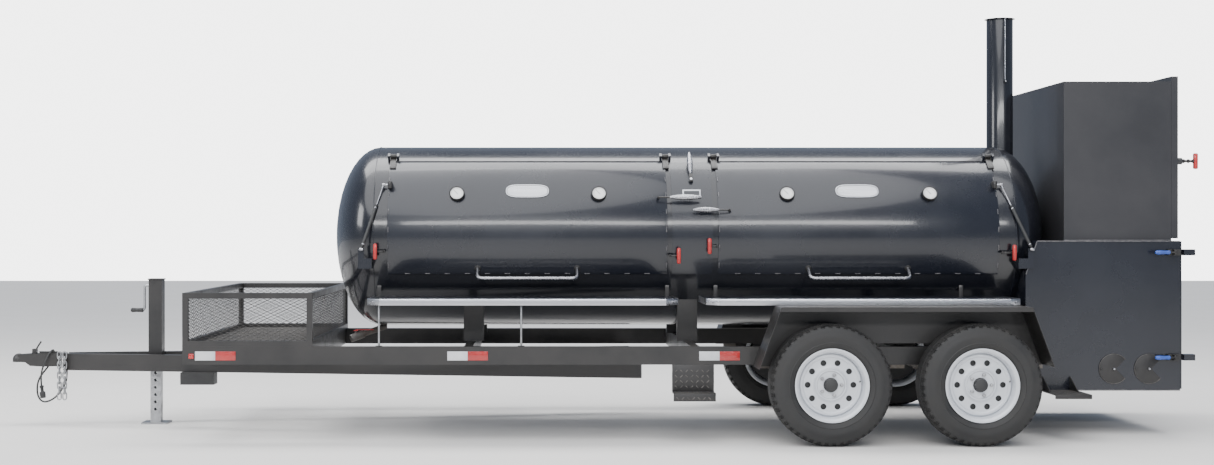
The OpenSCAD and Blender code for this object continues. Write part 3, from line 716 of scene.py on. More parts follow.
@dataclass
class SmokerDoor:
    """One curved door with its welds, gauges, blank plaque, handle, wire pull and strut ear."""

    side: str
    x: tuple[float, float]
    hinges: tuple[float, float]
    pull: tuple[Point, Point]
    stalk_x: float
    stud_x: float
    radius: float = 0.558
    angles: tuple[float, float] = (-24.0, 53.0)
    knuckle: float = 0.036

    @property
    def middle(self) -> float:
        """Return the door's middle along the tank."""
        return sum(self.x) / 2

    def plate_piece(self) -> None:
        """Spin the plate and weld its hinge straps on."""
        skin = soften(arc_sheet("skin", self.radius, self.x, self.angles, 0.006), 0.0012)
        parts = [paint(skin, DOOR_BLACK)]
        for x in self.hinges:
            strap = arc_sheet("strap", self.radius + 0.007, (x, x + self.knuckle), (46, 57.2), 0.007)
            pin = AXIS.at(x, 0.575, 57)
            parts += [paint(soften(strap, 0.0008), FRAME_BLACK),
                      paint(bar("knuckle", pin, pin + Vector((self.knuckle, 0, 0)), 0.012), FRAME_BLACK)]
        for x in self.gauge_x():
            parts.append(paint(bar("stem", AXIS.at(x, 0.45, 26), AXIS.at(x, self.radius + 0.004, 26), 0.005),
                               BRUSHED_STEEL))
        fit(join(f"door_{self.side}_plate", parts), f"door_{self.side}", Slot.TANK, f"door_{self.side}")

    def gauge_x(self) -> tuple[float, float]:
        """Return where the two gauges stand."""
        return self.x[0] + 0.410, self.x[1] - 0.403

    def stitches(self) -> list[Piece]:
        """Lay short weld beads along the lower edge and both sides."""
        first = bar("bead", (-0.016, 0, 0), (0.016, 0, 0), 0.0026, 8)
        count = round((self.x[1] - self.x[0]) / 0.115)
        low = [self.x[0] + (self.x[1] - self.x[0]) * i / count for i in range(1, count)]
        places = [AXIS.frame(x, self.radius + 0.0008, self.angles[0] + 0.6) for x in low]
        for x in (self.x[0] + 0.006, self.x[1] - 0.006):
            places += [AXIS.frame(x, self.radius + 0.0008, a) @ CROSSWISE for a in range(-18, 50, 11)]
        beads = [copy_to(first, place) for place in places[1:]]
        settle(first, places[0])
        return [paint(join("stitches", [first, *beads]), WELD_BEAD)]

    def gauge(self, x: float) -> list[Piece]:
        """Make one round gauge at x: case, dial, needle and glass rim."""
        place = AXIS.frame(x, self.radius + 0.003, 26)
        case = lathe("case",
                     [(0, 0), (0.040, 0), (0.0445, 0.004), (0.0445, 0.020), (0.042, 0.024), (0.0395, 0.023),
                      (0.039, 0.018), (0, 0.018)], place=place)
        bpy.ops.mesh.primitive_circle_add(vertices=48, radius=0.0388, fill_type="NGON",
                                          location=(0, 0, 0.0186))
        dial = settle(bpy.context.object)
        dial = settle(dial, place)
        needle = plate("needle", [(-0.0016, -0.008), (0.0016, -0.008), (0.0004, 0.031), (-0.0004, 0.031)],
                       0.0008, edge=0.0002)
        settle(needle, place @ shifted((0, 0, 0.0196)) @ turned(0.7, "Z") @ FORWARD)
        cap = lathe("cap", [(0, 0.0215), (0.0035, 0.021), (0.004, 0.0188), (0, 0.0188)], steps=16,
                    place=place)
        return [paint(case, FRAME_BLACK), paint(dial, DIAL), paint(needle, FRAME_BLACK),
                paint(cap, BRUSHED_STEEL)]

    def plaque(self) -> Piece:
        """Make the blank plaque with a shaped outline and a sunk dark border."""
        turn = [i * math.tau / 32 for i in range(32)]
        shape = [(math.copysign(0.1275 * abs(math.cos(t)) ** 0.45, math.cos(t)),
                  math.copysign(0.044 * abs(math.sin(t)) ** 0.8, math.sin(t))) for t in turn]
        board = plate("plaque", shape, 0.003, UPRIGHT, 0.0006)
        paint(board, BRUSHED_STEEL)
        board.data.materials.append(FRAME_BLACK.material())
        pick_faces(board, lambda c, n: n.z > 0.95 and c.z > 0.0025)
        with editing(board, everything=False):
            bpy.ops.mesh.inset(thickness=0.005, depth=0)
            bpy.ops.mesh.inset(thickness=0.0028, depth=-0.0006)
            bpy.context.object.active_material_index = 1
        for face in board.data.polygons:
            middle = face.center
            inside = abs(middle.x) < 0.122 and abs(middle.y) < 0.0395 and 0.001 < middle.z < 0.0029
            if inside and face.normal.z > 0.2 and not face.select:
                face.material_index = 1
        return settle(board, AXIS.frame(self.middle, self.radius + 0.001, 28.5))

    def handle(self) -> list[Piece]:
        """Bend the long bar handle and set its two feet."""
        foot = AXIS.at(self.middle, self.radius - 0.002, -20)
        corner = Vector((0, -0.603, 0.918))
        ends = [Vector((self.middle + s * 0.294, foot.y, foot.z)) for s in (-1, 1)]
        route = [ends[0], Vector((ends[0].x, corner.y, corner.z)), Vector((ends[1].x, corner.y, corner.z)),
                 ends[1]]
        rod = tube("handle", rounded(route, 0.034), 0.0105)
        feet = [lathe("foot", [(0, 0), (0.019, 0), (0.019, 0.004), (0.013, 0.007), (0, 0.007)], steps=24,
                      place=from_to(e, AXIS.out(-20))) for e in ends]
        return [paint(rod, BRIGHT_WIRE), *[paint(f, FRAME_BLACK) for f in feet]]

    def wire_pull(self) -> list[Piece]:
        """Set the wound pull on its stalk at the door's inner edge."""
        a, b = (Vector(p) for p in self.pull)
        foot = Vector((self.stalk_x, a.y + 0.045, a.z))
        knee = Vector((self.stalk_x, a.y + 0.008, a.z))
        return [spindle("wire_pull", a, b),
                paint(tube("stalk", rounded([foot, knee, a], 0.02), 0.005), FRAME_BLACK),
                paint(bar("boss", foot, foot.lerp(knee, 0.7), 0.008), FRAME_BLACK)]

    def ear(self) -> list[Piece]:
        """Make the ear and stud that the strut pulls on."""
        left = self.side == "left"
        x = self.x[0] if left else self.x[1] - 0.024
        block = slab("ear", (x, -0.510, 1.448), (x + 0.024, -0.455, 1.492), 0.006)
        root = x if left else x + 0.024
        stud = bar("stud", (root, -0.488, 1.470), (self.stud_x + (0.010 if left else -0.010), -0.488, 1.470),
                   0.005)
        return [paint(block, FRAME_BLACK), paint(stud, BRUSHED_STEEL)]

    def build(self) -> None:
        """Build the plate and everything that stands on it."""
        self.plate_piece()
        parts = [p for x in self.gauge_x() for p in self.gauge(x)]
        parts += [self.plaque(), *self.handle(), *self.wire_pull(), *self.ear(), *self.stitches()]
        fit(join(f"door_{self.side}_hardware", parts), f"door_{self.side}", Slot.STAINLESS,
            f"door_{self.side}_fittings")


@dataclass
class CentreBand:
    """The framed plate and the damper's swinging lever between the doors."""

    x: float = 0.595
    lever_angle: float = 36.0

    def build(self) -> None:
        """Make the small framed plate and the lever."""
        board = slab("small_plate", (-0.054, -0.029, 0), (0.054, 0.029, 0.003), 0.0008)
        pick_faces(board, lambda c, n: n.z > 0.9 and c.z > 0.0029)
        with editing(board, everything=False):
            bpy.ops.mesh.inset(thickness=0.007, depth=0)
            bpy.ops.mesh.inset(thickness=0.001, depth=-0.0015)
        paint(board, BRUSHED_STEEL)
        board.data.materials.append(DOOR_BLACK.material())
        for face in board.data.polygons:
            if face.normal.z > 0.9 and face.center.z < 0.0025:
                face.material_index = 1
        settle(board, AXIS.frame(self.x, 0.5575, 26.5))
        fit(board, "trailer", Slot.STAINLESS)
        place = AXIS.frame(self.x, 0.5665, self.lever_angle)
        arm = plate("lever_arm", [(-0.009, -0.014), (0.009, -0.014), (0.009, 0.046), (-0.009, 0.046)], 0.008)
        settle(arm, place @ shifted((0, 0, 0.008)) @ FORWARD)
        coil = spindle("lever_coil", place @ Vector((0, 0.045, 0.004)), place @ Vector((0, 0.205, 0.004)))
        nut = bar("nut", place @ Vector((0, 0, 0.0085)), place @ Vector((0, 0, 0.014)), 0.009, 6)
        lever = join("damper_lever_pull", [paint(arm, FRAME_BLACK), coil, paint(nut, BRUSHED_STEEL)])
        fit(lever, "damper_lever", Slot.STAINLESS, "damper_lever")


@dataclass
class GasStrut:
    """One door strut: a dark cylinder and a bright rod with an eye at each end."""

    side: str
    low: Point
    high: Point

    def build(self) -> None:
        """Make the cylinder and the rod."""
        a, b = Vector(self.low), Vector(self.high)
        u = (b - a).normalized()
        across = Vector((0.011, 0, 0))
        body = lathe("body",
                     [(0, 0), (0.006, 0), (0.006, 0.009), (0.010, 0.013), (0.010, 0.268), (0.0085, 0.272),
                      (0.0085, 0.276),
                              (0.0095, 0.278), (0.0095, 0.283), (0.0045, 0.283), (0.0045, 0.27)], steps=24,
                              place=from_to(a + 0.007 * u, u))
        bands = [lathe("band", [(0.0098, 0), (0.0104, 0.001), (0.0104, 0.005), (0.0098, 0.006)], steps=24,
                       place=from_to(a + s * u, u)) for s in (0.03, 0.268)]
        eye = bar("eye", a - across, a + across, 0.009)
        bolt = bar("bolt", a - across * 1.2, a - across * 0.95, 0.006, 6)
        cylinder = join(f"strut_{self.side}_body",
                        [paint(body, CABLE_RUBBER), *[paint(x, BRIGHT_WIRE) for x in bands],
                         paint(eye, BRIGHT_WIRE), paint(bolt, BRIGHT_WIRE)])
        fit(cylinder, f"strut_{self.side}_cylinder", Slot.FRAME, f"strut_{self.side}_cylinder")
        shaft = bar("shaft", a + 0.033 * u, b - 0.004 * u, 0.004)
        cup = lathe("cup", [(0, -0.026), (0.007, -0.026), (0.0075, -0.010), (0, -0.008)], steps=20,
                    place=from_to(b, u))
        top = bar("top_eye", b - across * 0.82, b + across * 0.82, 0.009)
        rod = join(f"strut_{self.side}_shaft", [paint(p, BRIGHT_WIRE) for p in (shaft, cup, top)])
        fit(rod, f"strut_{self.side}_rod", Slot.STAINLESS, f"strut_{self.side}_rod")


@dataclass
class DoorLatch:
    """A turning latch: a red grip on a boss, with a black arm and a round knob."""

    number: int
    x: float
    z: float
    reach: float

    def build(self) -> None:
        """Make the latch."""
        tip = self.x + self.reach
        way = 1 if self.reach > 0 else -1
        arm = slab("arm", (min(self.x, tip - way * 0.008), -0.573, self.z - 0.006),
                   (max(self.x, tip - way * 0.008), -0.562, self.z + 0.006), 0.002)
        knob = lathe("knob",
                     [(0, 0), (0.007, 0.0), (0.009, 0.002), (0.009, 0.008), (0.007, 0.011), (0, 0.011)],
                     steps=20,
                     place=from_to((tip - way * 0.009, -0.562, self.z), (0, -1, 0)))
        boss = bar("boss", (self.x, -0.5594, self.z), (self.x, -0.579, self.z), 0.0115)
        grip = slab("grip", (self.x - 0.0115, -0.602, self.z - 0.047),
                    (self.x + 0.0115, -0.578, self.z + 0.047), 0.009)
        parts = [paint(grip, RED_GRIP), paint(arm, FRAME_BLACK), paint(knob, FRAME_BLACK),
                 paint(boss, FRAME_BLACK)]
        fit(join(f"latch_{self.number}_grip", parts), f"latch_{self.number}", Slot.RED,
            f"latch_{self.number}")


@dataclass
class SideShelf:
    """A folding work shelf: a dark top with cut corners inside a bright rim, on two props."""

    name: str
    x: tuple[float, float]
    props: tuple[float, ...]
    arms: tuple[float, float]
    front: float = -0.950
    back: float = -0.4704
    cut: float = 0.075
    low: float = 0.7746
    top: float = 0.811

    def outline(self, inset: float) -> list[tuple[float, float]]:
        """Return the plan of the shelf drawn in by an inset, as (x, y)."""
        c, g = self.cut + 0.414 * inset, inset
        (a, b), f = self.x, self.front
        return [(a + g, self.back - g), (a + g, f + c), (a + c, f + g), (b - c, f + g), (b - g, f + c),
                (b - g, self.back - g)]

    def build(self) -> None:
        """Make the top, the rim, the props and the arms."""
        top = plate("top", self.outline(0.004), 0.010, shifted((0, 0, self.top)) @ FORWARD)
        paint(top, DOOR_BLACK)
        rim = settle(profile("rim", self.outline(0.0), True), FORWARD)
        with editing(rim):
            bpy.ops.mesh.extrude_region_move(TRANSFORM_OT_translate={"value": (0, 0, self.top - self.low)})
            bpy.ops.mesh.select_all(action="SELECT")
            bpy.ops.mesh.normals_make_consistent(inside=False)
        settle(rim, shifted((0, 0, self.low)))
        apply_modifier(rim, "SOLIDIFY", thickness=0.0038, offset=-1)
        parts = [top, paint(soften(rim, 0.0012), BRUSHED_STEEL)]
        for x in self.props:
            parts.append(paint(bar("prop", (x, -0.895, 0.5389), (x, -0.895, 0.8008), 0.006), ZINC_PLATE))
            parts.append(paint(slab("prop_foot", (x - 0.018, -0.911, 0.5389), (x + 0.018, -0.879, 0.543),
                                    0.001), FRAME_BLACK))
        for x in self.arms:
            parts.append(paint(slab("arm", (x - 0.012, -0.4698, 0.780), (x + 0.012, -0.460, 0.874), 0.001),
                               FRAME_BLACK))
        y = self.front + self.cut / 2
        for x, out in ((self.x[0] + self.cut / 2, -0.004), (self.x[1] - self.cut / 2, 0.004)):
            parts.append(paint(bar("bolt", (x, y - 0.001, 0.791), (x + out, y - 0.005, 0.791), 0.008, 6),
                               BRIGHT_WIRE))
        fit(join(self.name, parts), "trailer", Slot.STAINLESS, "shelves")


@dataclass
class RoadWheel:
    """A trailer wheel: a grooved tyre on a pressed silver rim with ten holes."""

    code: str
    x: float
    side: int
    radius: float = 0.340

    def place(self) -> Matrix:
        """Return where the wheel goes, its outer face looking away from the trailer."""
        return shifted((self.x, self.side * 1.0715, self.radius)) @ turned(-self.side * math.pi / 2, "X")

    def tyre(self) -> Piece:
        """Turn the tyre with its ribs and grooves and notch its shoulders."""
        half = [(0.1905, 0.082), (0.2085, 0.084), (0.213, 0.090), (0.226, 0.098), (0.2335, 0.0995),
                (0.236, 0.1015), (0.240, 0.0995),
                (0.262, 0.1022), (0.283, 0.1015), (0.286, 0.1000), (0.300, 0.0985), (0.317, 0.0925),
                (0.327, 0.0865), (0.336, 0.067),
                (0.3375, 0.054), (0.330, 0.0525), (0.330, 0.0475), (0.3390, 0.046), (0.3400, 0.020),
                (0.332, 0.0185), (0.332, 0.0135), (0.3400, 0.012)]
        outline = [(r, -h) for r, h in half] + [(r, h) for r, h in reversed(half)]
        tyre = lathe("tyre", outline, closed=True, steps=96)

        def notch(centre: Vector, _: Vector) -> bool:
            """Say whether a shoulder or rib face is every other one round."""
            step = round(math.degrees(math.atan2(centre.y, centre.x)) / 3.75 - 0.5)
            return step % 2 == 0 and centre.xy.length > 0.318 and 0.05 < abs(centre.z) < 0.095

        pick_faces(tyre, notch)
        with editing(tyre, everything=False):
            bpy.ops.mesh.inset(thickness=0.0012, depth=-0.005, use_individual=True)
        return settle(tyre, self.place())

    def rim(self) -> list[Piece]:
        """Turn the barrel and the holed disc, and set the hub cap, nuts and valve."""
        barrel = lathe("barrel",
                       [(0.206, 0.0885), (0.206, 0.084), (0.197, 0.083), (0.190, 0.078), (0.190, 0.060),
                        (0.184, 0.055), (0.184, -0.055),
                                  (0.190, -0.060), (0.190, -0.078), (0.197, -0.083), (0.206, -0.084),
                                  (0.206, -0.0885), (0.198, -0.0885),
                                  (0.186, -0.080), (0.178, -0.058), (0.178, 0.058), (0.186, 0.080),
                                  (0.198, 0.0885)], closed=True, steps=72)
        disc = lathe("disc",
                     [(0.021, 0.040), (0.074, 0.040), (0.079, 0.046), (0.085, 0.046), (0.092, 0.037),
                      (0.104, 0.032), (0.150, 0.032),
                              (0.158, 0.038), (0.168, 0.038), (0.1785, 0.026), (0.1785, 0.018),
                              (0.158, 0.028), (0.104, 0.022), (0.092, 0.028), (0.021, 0.028)],
                     closed=True, steps=80)
        first = bar("hole", (0.127, 0, 0), (0.127, 0, 0.06), 0.017, 20)
        cutter = join("holes",
                      [first] + [copy_to(first, turned(i * math.tau / 10, "Z")) for i in range(1, 10)])
        apply_modifier(disc, "BOOLEAN", operation="DIFFERENCE", object=cutter)
        bpy.data.objects.remove(cutter, do_unlink=True)
        spindle_hub = lathe("hub",
                            [(0.0, 0.030), (0.055, 0.030), (0.062, 0.020), (0.062, -0.068), (0.0, -0.070)],
                            steps=32)
        drum = lathe("drum", [(0, 0.014), (0.158, 0.014), (0.164, 0.008), (0.164, -0.050), (0, -0.050)],
                     steps=48)
        cap = lathe("cap",
                    [(0, 0.071), (0.026, 0.071), (0.035, 0.067), (0.037, 0.060), (0.038, 0.042),
                     (0.041, 0.040), (0.0, 0.040)], steps=32)
        nut = bar("nut", (0.060, 0, 0.040), (0.060, 0, 0.056), 0.0105, 6)
        nuts = [nut] + [copy_to(nut, turned(i * math.tau / 5, "Z")) for i in range(1, 5)]
        valve = bar("valve", (0.166, 0.02, 0.036), (0.156, 0.02, 0.062), 0.004, 12)
        silver = [paint(p, WHEEL_SILVER) for p in (barrel, disc)]
        return [settle(p, self.place())
                for p in [*silver, paint(spindle_hub, FRAME_BLACK), paint(drum, BLACK_PLASTIC),
                          paint(cap, BLACK_PLASTIC), paint(valve, CABLE_RUBBER),
                          *[paint(n, ZINC_PLATE) for n in nuts]]]

    def build(self) -> None:
        """Build the tyre and the rim."""
        fit(paint(self.tyre(), TYRE_RUBBER), f"wheel_{self.code}", Slot.TYRE, f"tyre_{self.code}", angle=30)
        fit(join(f"rim_{self.code}_pressed", self.rim()), f"wheel_{self.code}", Slot.WHEEL,
            f"rim_{self.code}", angle=30)


@dataclass
class Chimney:
    """The stack with its hinged lid and push rod."""

    x: float = 2.564
    radius: float = 0.080
    top: float = 2.512

    def build(self) -> None:
        """Make the stack, its lid and the rod."""
        pipe = lathe("pipe",
                     [(self.radius - 0.005, 1.60), (self.radius, 1.60), (self.radius, self.top - 0.002),
                      (self.radius - 0.001, self.top),
                              (self.radius - 0.004, self.top), (self.radius - 0.005, self.top - 0.002)],
                              closed=True, steps=64, place=shifted((self.x, 0, 0)))
        lugs = [slab("lug", (x, 0.062, 2.484), (x + 0.012, 0.098, self.top - 0.0004), 0.002)
                for x in (self.x - 0.036, self.x + 0.024)]
        hooks = [tube("hook",
                      rounded([(self.x + 0.008, -0.079, 2.112), (self.x + 0.008, -0.098, 2.112),
                               (self.x + 0.008, -0.098, 2.134)], 0.01), 0.0035)]
        fit(paint(join("stack_pipe", [pipe, *lugs, *hooks]), TANK_BLACK), "trailer", Slot.TANK, "stack")
        lid = lathe("lid",
                    [(0, 2.5166), (0.080, 2.5166), (0.090, 2.5160), (0.092, 2.5148), (0.092, 2.5128),
                     (0, 2.5127)], steps=64, place=shifted((self.x, 0, 0)))
        strap = slab("strap", (self.x - 0.020, 0.080, 2.508), (self.x + 0.020, 0.098, 2.5165), 0.002)
        fit(paint(join("stack_cover", [lid, strap]), TANK_BLACK), "stack_lid", Slot.TANK, "stack_lid")
        rod = tube("lid_push_rod",
                   rounded([(self.x + 0.008, -0.089, 2.511), (self.x + 0.008, -0.089, 2.132),
                            (self.x + 0.008, -0.112, 2.118)], 0.012), 0.003)
        fit(paint(rod, BRUSHED_STEEL), "lid_rod", Slot.STAINLESS, "lid_rod")


@dataclass
class HitchChains:
    """The two safety chains that hang at the coupler."""

    pitch: float = 0.031
    wire: float = 0.004
    bend: float = 0.011
    straight: float = 0.012

    def link(self) -> Piece:
        """Bend one link with its long way along Z."""
        arc = [math.pi * i / 8 for i in range(9)]
        loop = [(self.bend * math.cos(a), 0, self.straight + self.bend * math.sin(a)) for a in arc]
        loop += [(-x, 0, -z) for x, _, z in loop]
        return tube("link", loop, self.wire, closed=True)

    def build(self) -> None:
        """Hang both chains."""
        first = self.link()
        links = []
        for k in (0, 1):
            top = Vector((-3.268 + 0.034 * k, -0.100 - 0.004 * k, 0))
            for i in range(8):
                links.append(copy_to(first,
                                     shifted(top + Vector((0, 0,
                                                           0.430 - self.pitch * i)))
                                                           @ turned(math.pi / 2 * (i % 2), "Z")))
            links.append(copy_to(first, shifted(top + Vector((0, 0, 0.178))) @ turned(math.radians(20), "Z")))
        bpy.data.objects.remove(first, do_unlink=True)
        fit(paint(join("hitch_chains", links), ZINC_PLATE), "trailer", Slot.ZINC, "safety_chains", angle=60)


@dataclass
class CargoBasket:
    """Expanded-metal panels that close the basket's sides and floor."""

    pitch: tuple[float, float] = (0.046, 0.020)
    strand: float = 0.0034

    def panel(self, name: str, width: float, height: float) -> Piece:
        """Make a panel of diamonds in the XY plane.

        Args:
            name: Name of the panel.
            width: Its size along X.
            height: Its size along Y.

        Returns:
            The panel, centred on the origin.
        """
        across, up = max(2, round(width / self.pitch[0])), max(2, round(height / self.pitch[1]))
        bpy.ops.mesh.primitive_grid_add(x_subdivisions=across, y_subdivisions=up, size=1)
        obj = bpy.context.object
        obj.name = name
        obj.scale = (width - self.strand, height - self.strand, 1)
        settle(obj)
        with editing(obj):
            bpy.ops.mesh.poke()
            bpy.ops.mesh.select_mode(type="EDGE")
            bpy.ops.mesh.select_all(action="DESELECT")
        spots = [v.co for v in obj.data.vertices]
        limit = (width / 2 - self.strand, height / 2 - self.strand)
        for edge in obj.data.edges:
            a, b = (spots[i] for i in edge.vertices)
            middle = (a + b) / 2
            straight = abs(a.x - b.x) < 1e-5 or abs(a.y - b.y) < 1e-5
            edge.select = straight and abs(middle.x) < limit[0] and abs(middle.y) < limit[1]
        with editing(obj, everything=False):
            bpy.ops.mesh.dissolve_edges(use_verts=False)
        apply_modifier(obj, "WIREFRAME", thickness=self.strand, use_even_offset=False)
        return obj

    def build(self) -> None:
        """Hang a panel in each side and lay the floor."""
        low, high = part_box("basket_mesh")
        low, high = Vector(low), Vector(high)
        size, middle = high - low, (low + high) / 2
        inset = 0.0016
        panels = []
        for y in (low.y + inset, high.y - inset):
            panels.append(settle(self.panel("long", size.x, size.z),
                                 shifted((middle.x, y, middle.z)) @ UPRIGHT))
        for x in (low.x + inset, high.x - inset):
            panels.append(settle(self.panel("end", size.y, size.z),
                                 shifted((x, 0, middle.z)) @ CROSSWISE @ UPRIGHT))
        panels.append(settle(self.panel("floor", size.x, size.y), shifted((middle.x, 0, low.z + inset))))
        fit(paint(join("basket_expanded_metal", panels), MESH_BLACK), "trailer", Slot.BASKET, "basket_mesh",
            angle=20)


@dataclass
class TreadSteps:
    """The two steps of raised-pattern plate, one under the rail and one at the firebox."""

    pitch: float = 0.030

    def lozenges(self, place: Matrix, width: float, height: float) -> list[Piece]:
        """Scatter raised bars over a face, each turned across its neighbours."""
        bpy.ops.mesh.primitive_uv_sphere_add(segments=8, ring_count=4, radius=1)
        first = bpy.context.object
        paint(settle(first, Matrix.Diagonal((0.011, 0.0034, 0.0017, 1))), TREAD_WORN)
        out = []
        for i in range(int(width / self.pitch)):
            for j in range(int(height / self.pitch)):
                at = shifted(((i + 0.7) * self.pitch, (j + 0.7) * self.pitch, 0))
                out.append(copy_to(first, place @ at @ turned(math.pi / 4 * (1 if (i + j) % 2 else -1), "Z")))
        bpy.data.objects.remove(first, do_unlink=True)
        return out

    def build(self) -> None:
        """Make both steps."""
        parts = [slab("drop", (0.443, -0.914, 0.2852), (0.681, -0.908, 0.4366), 0.001),
                 slab("tread", (0.443, -1.010, 0.279), (0.681, -0.908, 0.285), 0.001),
                 slab("lip", (0.443, -1.010, 0.238), (0.681, -1.004, 0.2795), 0.002)]
        parts = [paint(p, FRAME_BLACK) for p in parts]
        parts += self.lozenges(shifted((0.445, -0.914, 0.290)) @ UPRIGHT, 0.235, 0.145)
        parts += self.lozenges(shifted((0.445, -1.006, 0.285)), 0.235, 0.09)
        parts += self.lozenges(shifted((0.445, -1.010, 0.234)) @ UPRIGHT, 0.235, 0.045)
        fit(join("middle_step", parts), "trailer", Slot.FRAME, "steps")
        parts = [slab("tread", (2.623, -0.900, 0.259), (2.832, -0.6002, 0.265), 0.001),
                 slab("lip", (2.623, -0.900, 0.240), (2.832, -0.894, 0.2595), 0.001)]
        gusset = [(-0.6002, 0.2652), (-0.6002, 0.343), (-0.604, 0.343), (-0.760, 0.2652)]
        for x in (2.640, 2.800):
            parts.append(plate("gusset", gusset, 0.006, shifted((x + 0.006, 0, 0)) @ CROSSWISE))
        parts = [paint(p, FRAME_BLACK) for p in parts]
        parts += self.lozenges(shifted((2.625, -0.896, 0.265)), 0.2, 0.28)
        fit(join("rear_step", parts), "trailer", Slot.FRAME, "steps")


@dataclass
class TrailerLamps:
    """Reflective tapes along the rail, the side marker and the tail lamps."""

    tapes: tuple[float, ...] = (-2.264, -0.832, 0.597)
    half: float = 0.115

    def build(self) -> None:
        """Make the tapes and the lamps."""
        for finish, name, shift in ((WHITE_TAPE, "white_tapes", 0.0),
                                    (RED_LENS, "red_tapes", self.half + 0.0002)):
            strips = [paint(slab("tape", (x + shift, -0.916, 0.461), (x + shift + self.half, -0.9141, 0.512),
                                 0.0006), finish) for x in self.tapes]
            fit(join(name, strips), "trailer", Slot.LAMP, "lamps")
        lamps = [slab("marker", (-2.300, -0.924, 0.470), (-2.270, -0.9142, 0.500), 0.004)]
        tilt = turned(math.radians(69.8), "Y")
        for side in (-1, 1):
            place = shifted((2.492, side * 1.060, 0.560)) @ tilt
            dome = lathe("dome",
                         [(0, 0.026), (0.014, 0.025), (0.026, 0.021), (0.034, 0.014), (0.037, 0.008),
                          (0.038, 0.003), (0, 0.003)], steps=40, place=place)
            box = settle(slab("box", (-0.110, -0.020, 0.003), (-0.050, 0.020, 0.021), 0.004), place)
            lamps += [dome, box]
        fit(join("tail_lamps", [paint(p, RED_LENS) for p in lamps]), "trailer", Slot.LAMP, "lamps")


@dataclass
class FireboxHardware:
    """The two pull toggles of the firebox door and the weld seams of the box."""

    toggles: tuple[tuple[str, float], ...] = (("lower", 0.457), ("upper", 1.071))

    def build(self) -> None:
        """Make the toggles and the seams."""
        for name, z in self.toggles:
            knuckle = bar("knuckle", (3.410, -0.634, z - 0.0125), (3.410, -0.634, z + 0.0125), 0.009)
            link = tube("link", rounded([(3.404, -0.638, z), (3.388, -0.648, z), (3.366, -0.651, z)], 0.01),
                        0.006)
            grip = lathe("grip",
                         [(0, 0), (0.008, 0), (0.0115, 0.004), (0.0105, 0.030), (0.0125, 0.060),
                          (0.0115, 0.080), (0.007, 0.088), (0, 0.089)], steps=24,
                         place=from_to((3.372, -0.651, z), (-0.998, -0.046, 0)))
            piece = join(f"toggle_{name}_grip",
                         [paint(grip, BLUE_GRIP), paint(knuckle, FRAME_BLACK), paint(link, FRAME_BLACK)])
            fit(piece, f"toggle_{name}", Slot.BLUE, f"toggle_{name}")
        low, high = (Vector(c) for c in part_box("firebox_shell"))
        beads = [bar("bead", (2.612, low.y - 0.001, high.z - 0.002),
                     (high.x - 0.002, low.y - 0.001, high.z - 0.002), 0.003, 8),
                 bar("bead", (2.546, low.y - 0.001, 0.942), (2.611, low.y - 0.001, high.z - 0.003), 0.003, 8),
                 bar("bead", (2.546, low.y - 0.001, low.z + 0.002),
                     (high.x - 0.002, low.y - 0.001, low.z + 0.002), 0.003, 8)]
        foot = Vector(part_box("cabinet_shell")[0])
        beads.append(bar("bead", (foot.x, foot.y - 0.001, high.z + 0.003),
                         (3.418, foot.y - 0.001, high.z + 0.003), 0.0035, 8))
        fit(paint(join("firebox_seams", beads), WELD_BEAD), "trailer", Slot.TANK)


@dataclass
class AirDamper:
    """A turning draught disc with a quarter cut away, on a bright bolt."""

    number: int
    x: float
    z: float = 0.388
    radius: float = 0.088
    cut_from: float = 39.8

    def build(self) -> None:
        """Make the disc with its raised rim, bolt and finger tabs."""
        first, last = math.radians(self.cut_from), math.radians(360 - self.cut_from)
        turn = [first + (last - first) * i / 40 for i in range(41)]
        shape = [(self.radius * math.cos(t), self.radius * math.sin(t)) for t in turn] + [(0.0113, 0.0)]
        place = shifted((self.x, -0.605, self.z))
        disc = plate("disc", shape, 0.004, place, 0.0012)
        rim = tube("rim", [(x * 0.985, -0.0002, z * 0.985) for x, z in shape[:-1]], 0.0014)
        bolt = lathe("bolt", [(0, 0.014), (0.006, 0.013), (0.008, 0.009), (0.008, 0.004), (0, 0.004)],
                     steps=20, place=place @ shifted((0, 0.004, 0)) @ UPRIGHT)
        tabs = [slab("tab", (self.x - 0.080, -0.613, self.z - 0.006),
                     (self.x - 0.066, -0.605, self.z + 0.006), 0.002)]
        parts = [paint(disc, FRAME_BLACK), paint(settle(rim, place), TREAD_WORN), paint(bolt, BRIGHT_WIRE),
                 *[paint(t, FRAME_BLACK) for t in tabs]]
        fit(join(f"air_damper_{self.number}_disc", parts), f"air_damper_{self.number}", Slot.TANK,
            f"air_damper_{self.number}")


@dataclass
class CabinetHandle:
    """The cabinet latch: a turned spindle and a red T grip."""

    y: float = -0.520
    z: float = 1.609

    def build(self) -> None:
        """Make the latch."""
        shaft = lathe("shaft",
                      [(0, 0), (0.008, 0), (0.008, 0.034), (0.012, 0.038), (0.012, 0.046), (0.0075, 0.050),
                       (0.0075, 0.062), (0.012, 0.066),
                                (0.012, 0.074), (0.0075, 0.078), (0.0075, 0.090), (0.011, 0.094),
                                (0.011, 0.104), (0, 0.104)], steps=24,
                      place=from_to((3.460, self.y, self.z), (1, 0, 0)))
        grip = slab("grip", (3.5600, self.y - 0.014, self.z - 0.047),
                    (3.5859, self.y + 0.014, self.z + 0.047), 0.008)
        fit(join("cabinet_latch_grip", [paint(grip, RED_GRIP), paint(shaft, FRAME_BLACK)]), "cabinet_latch",
            Slot.RED, "cabinet_latch")


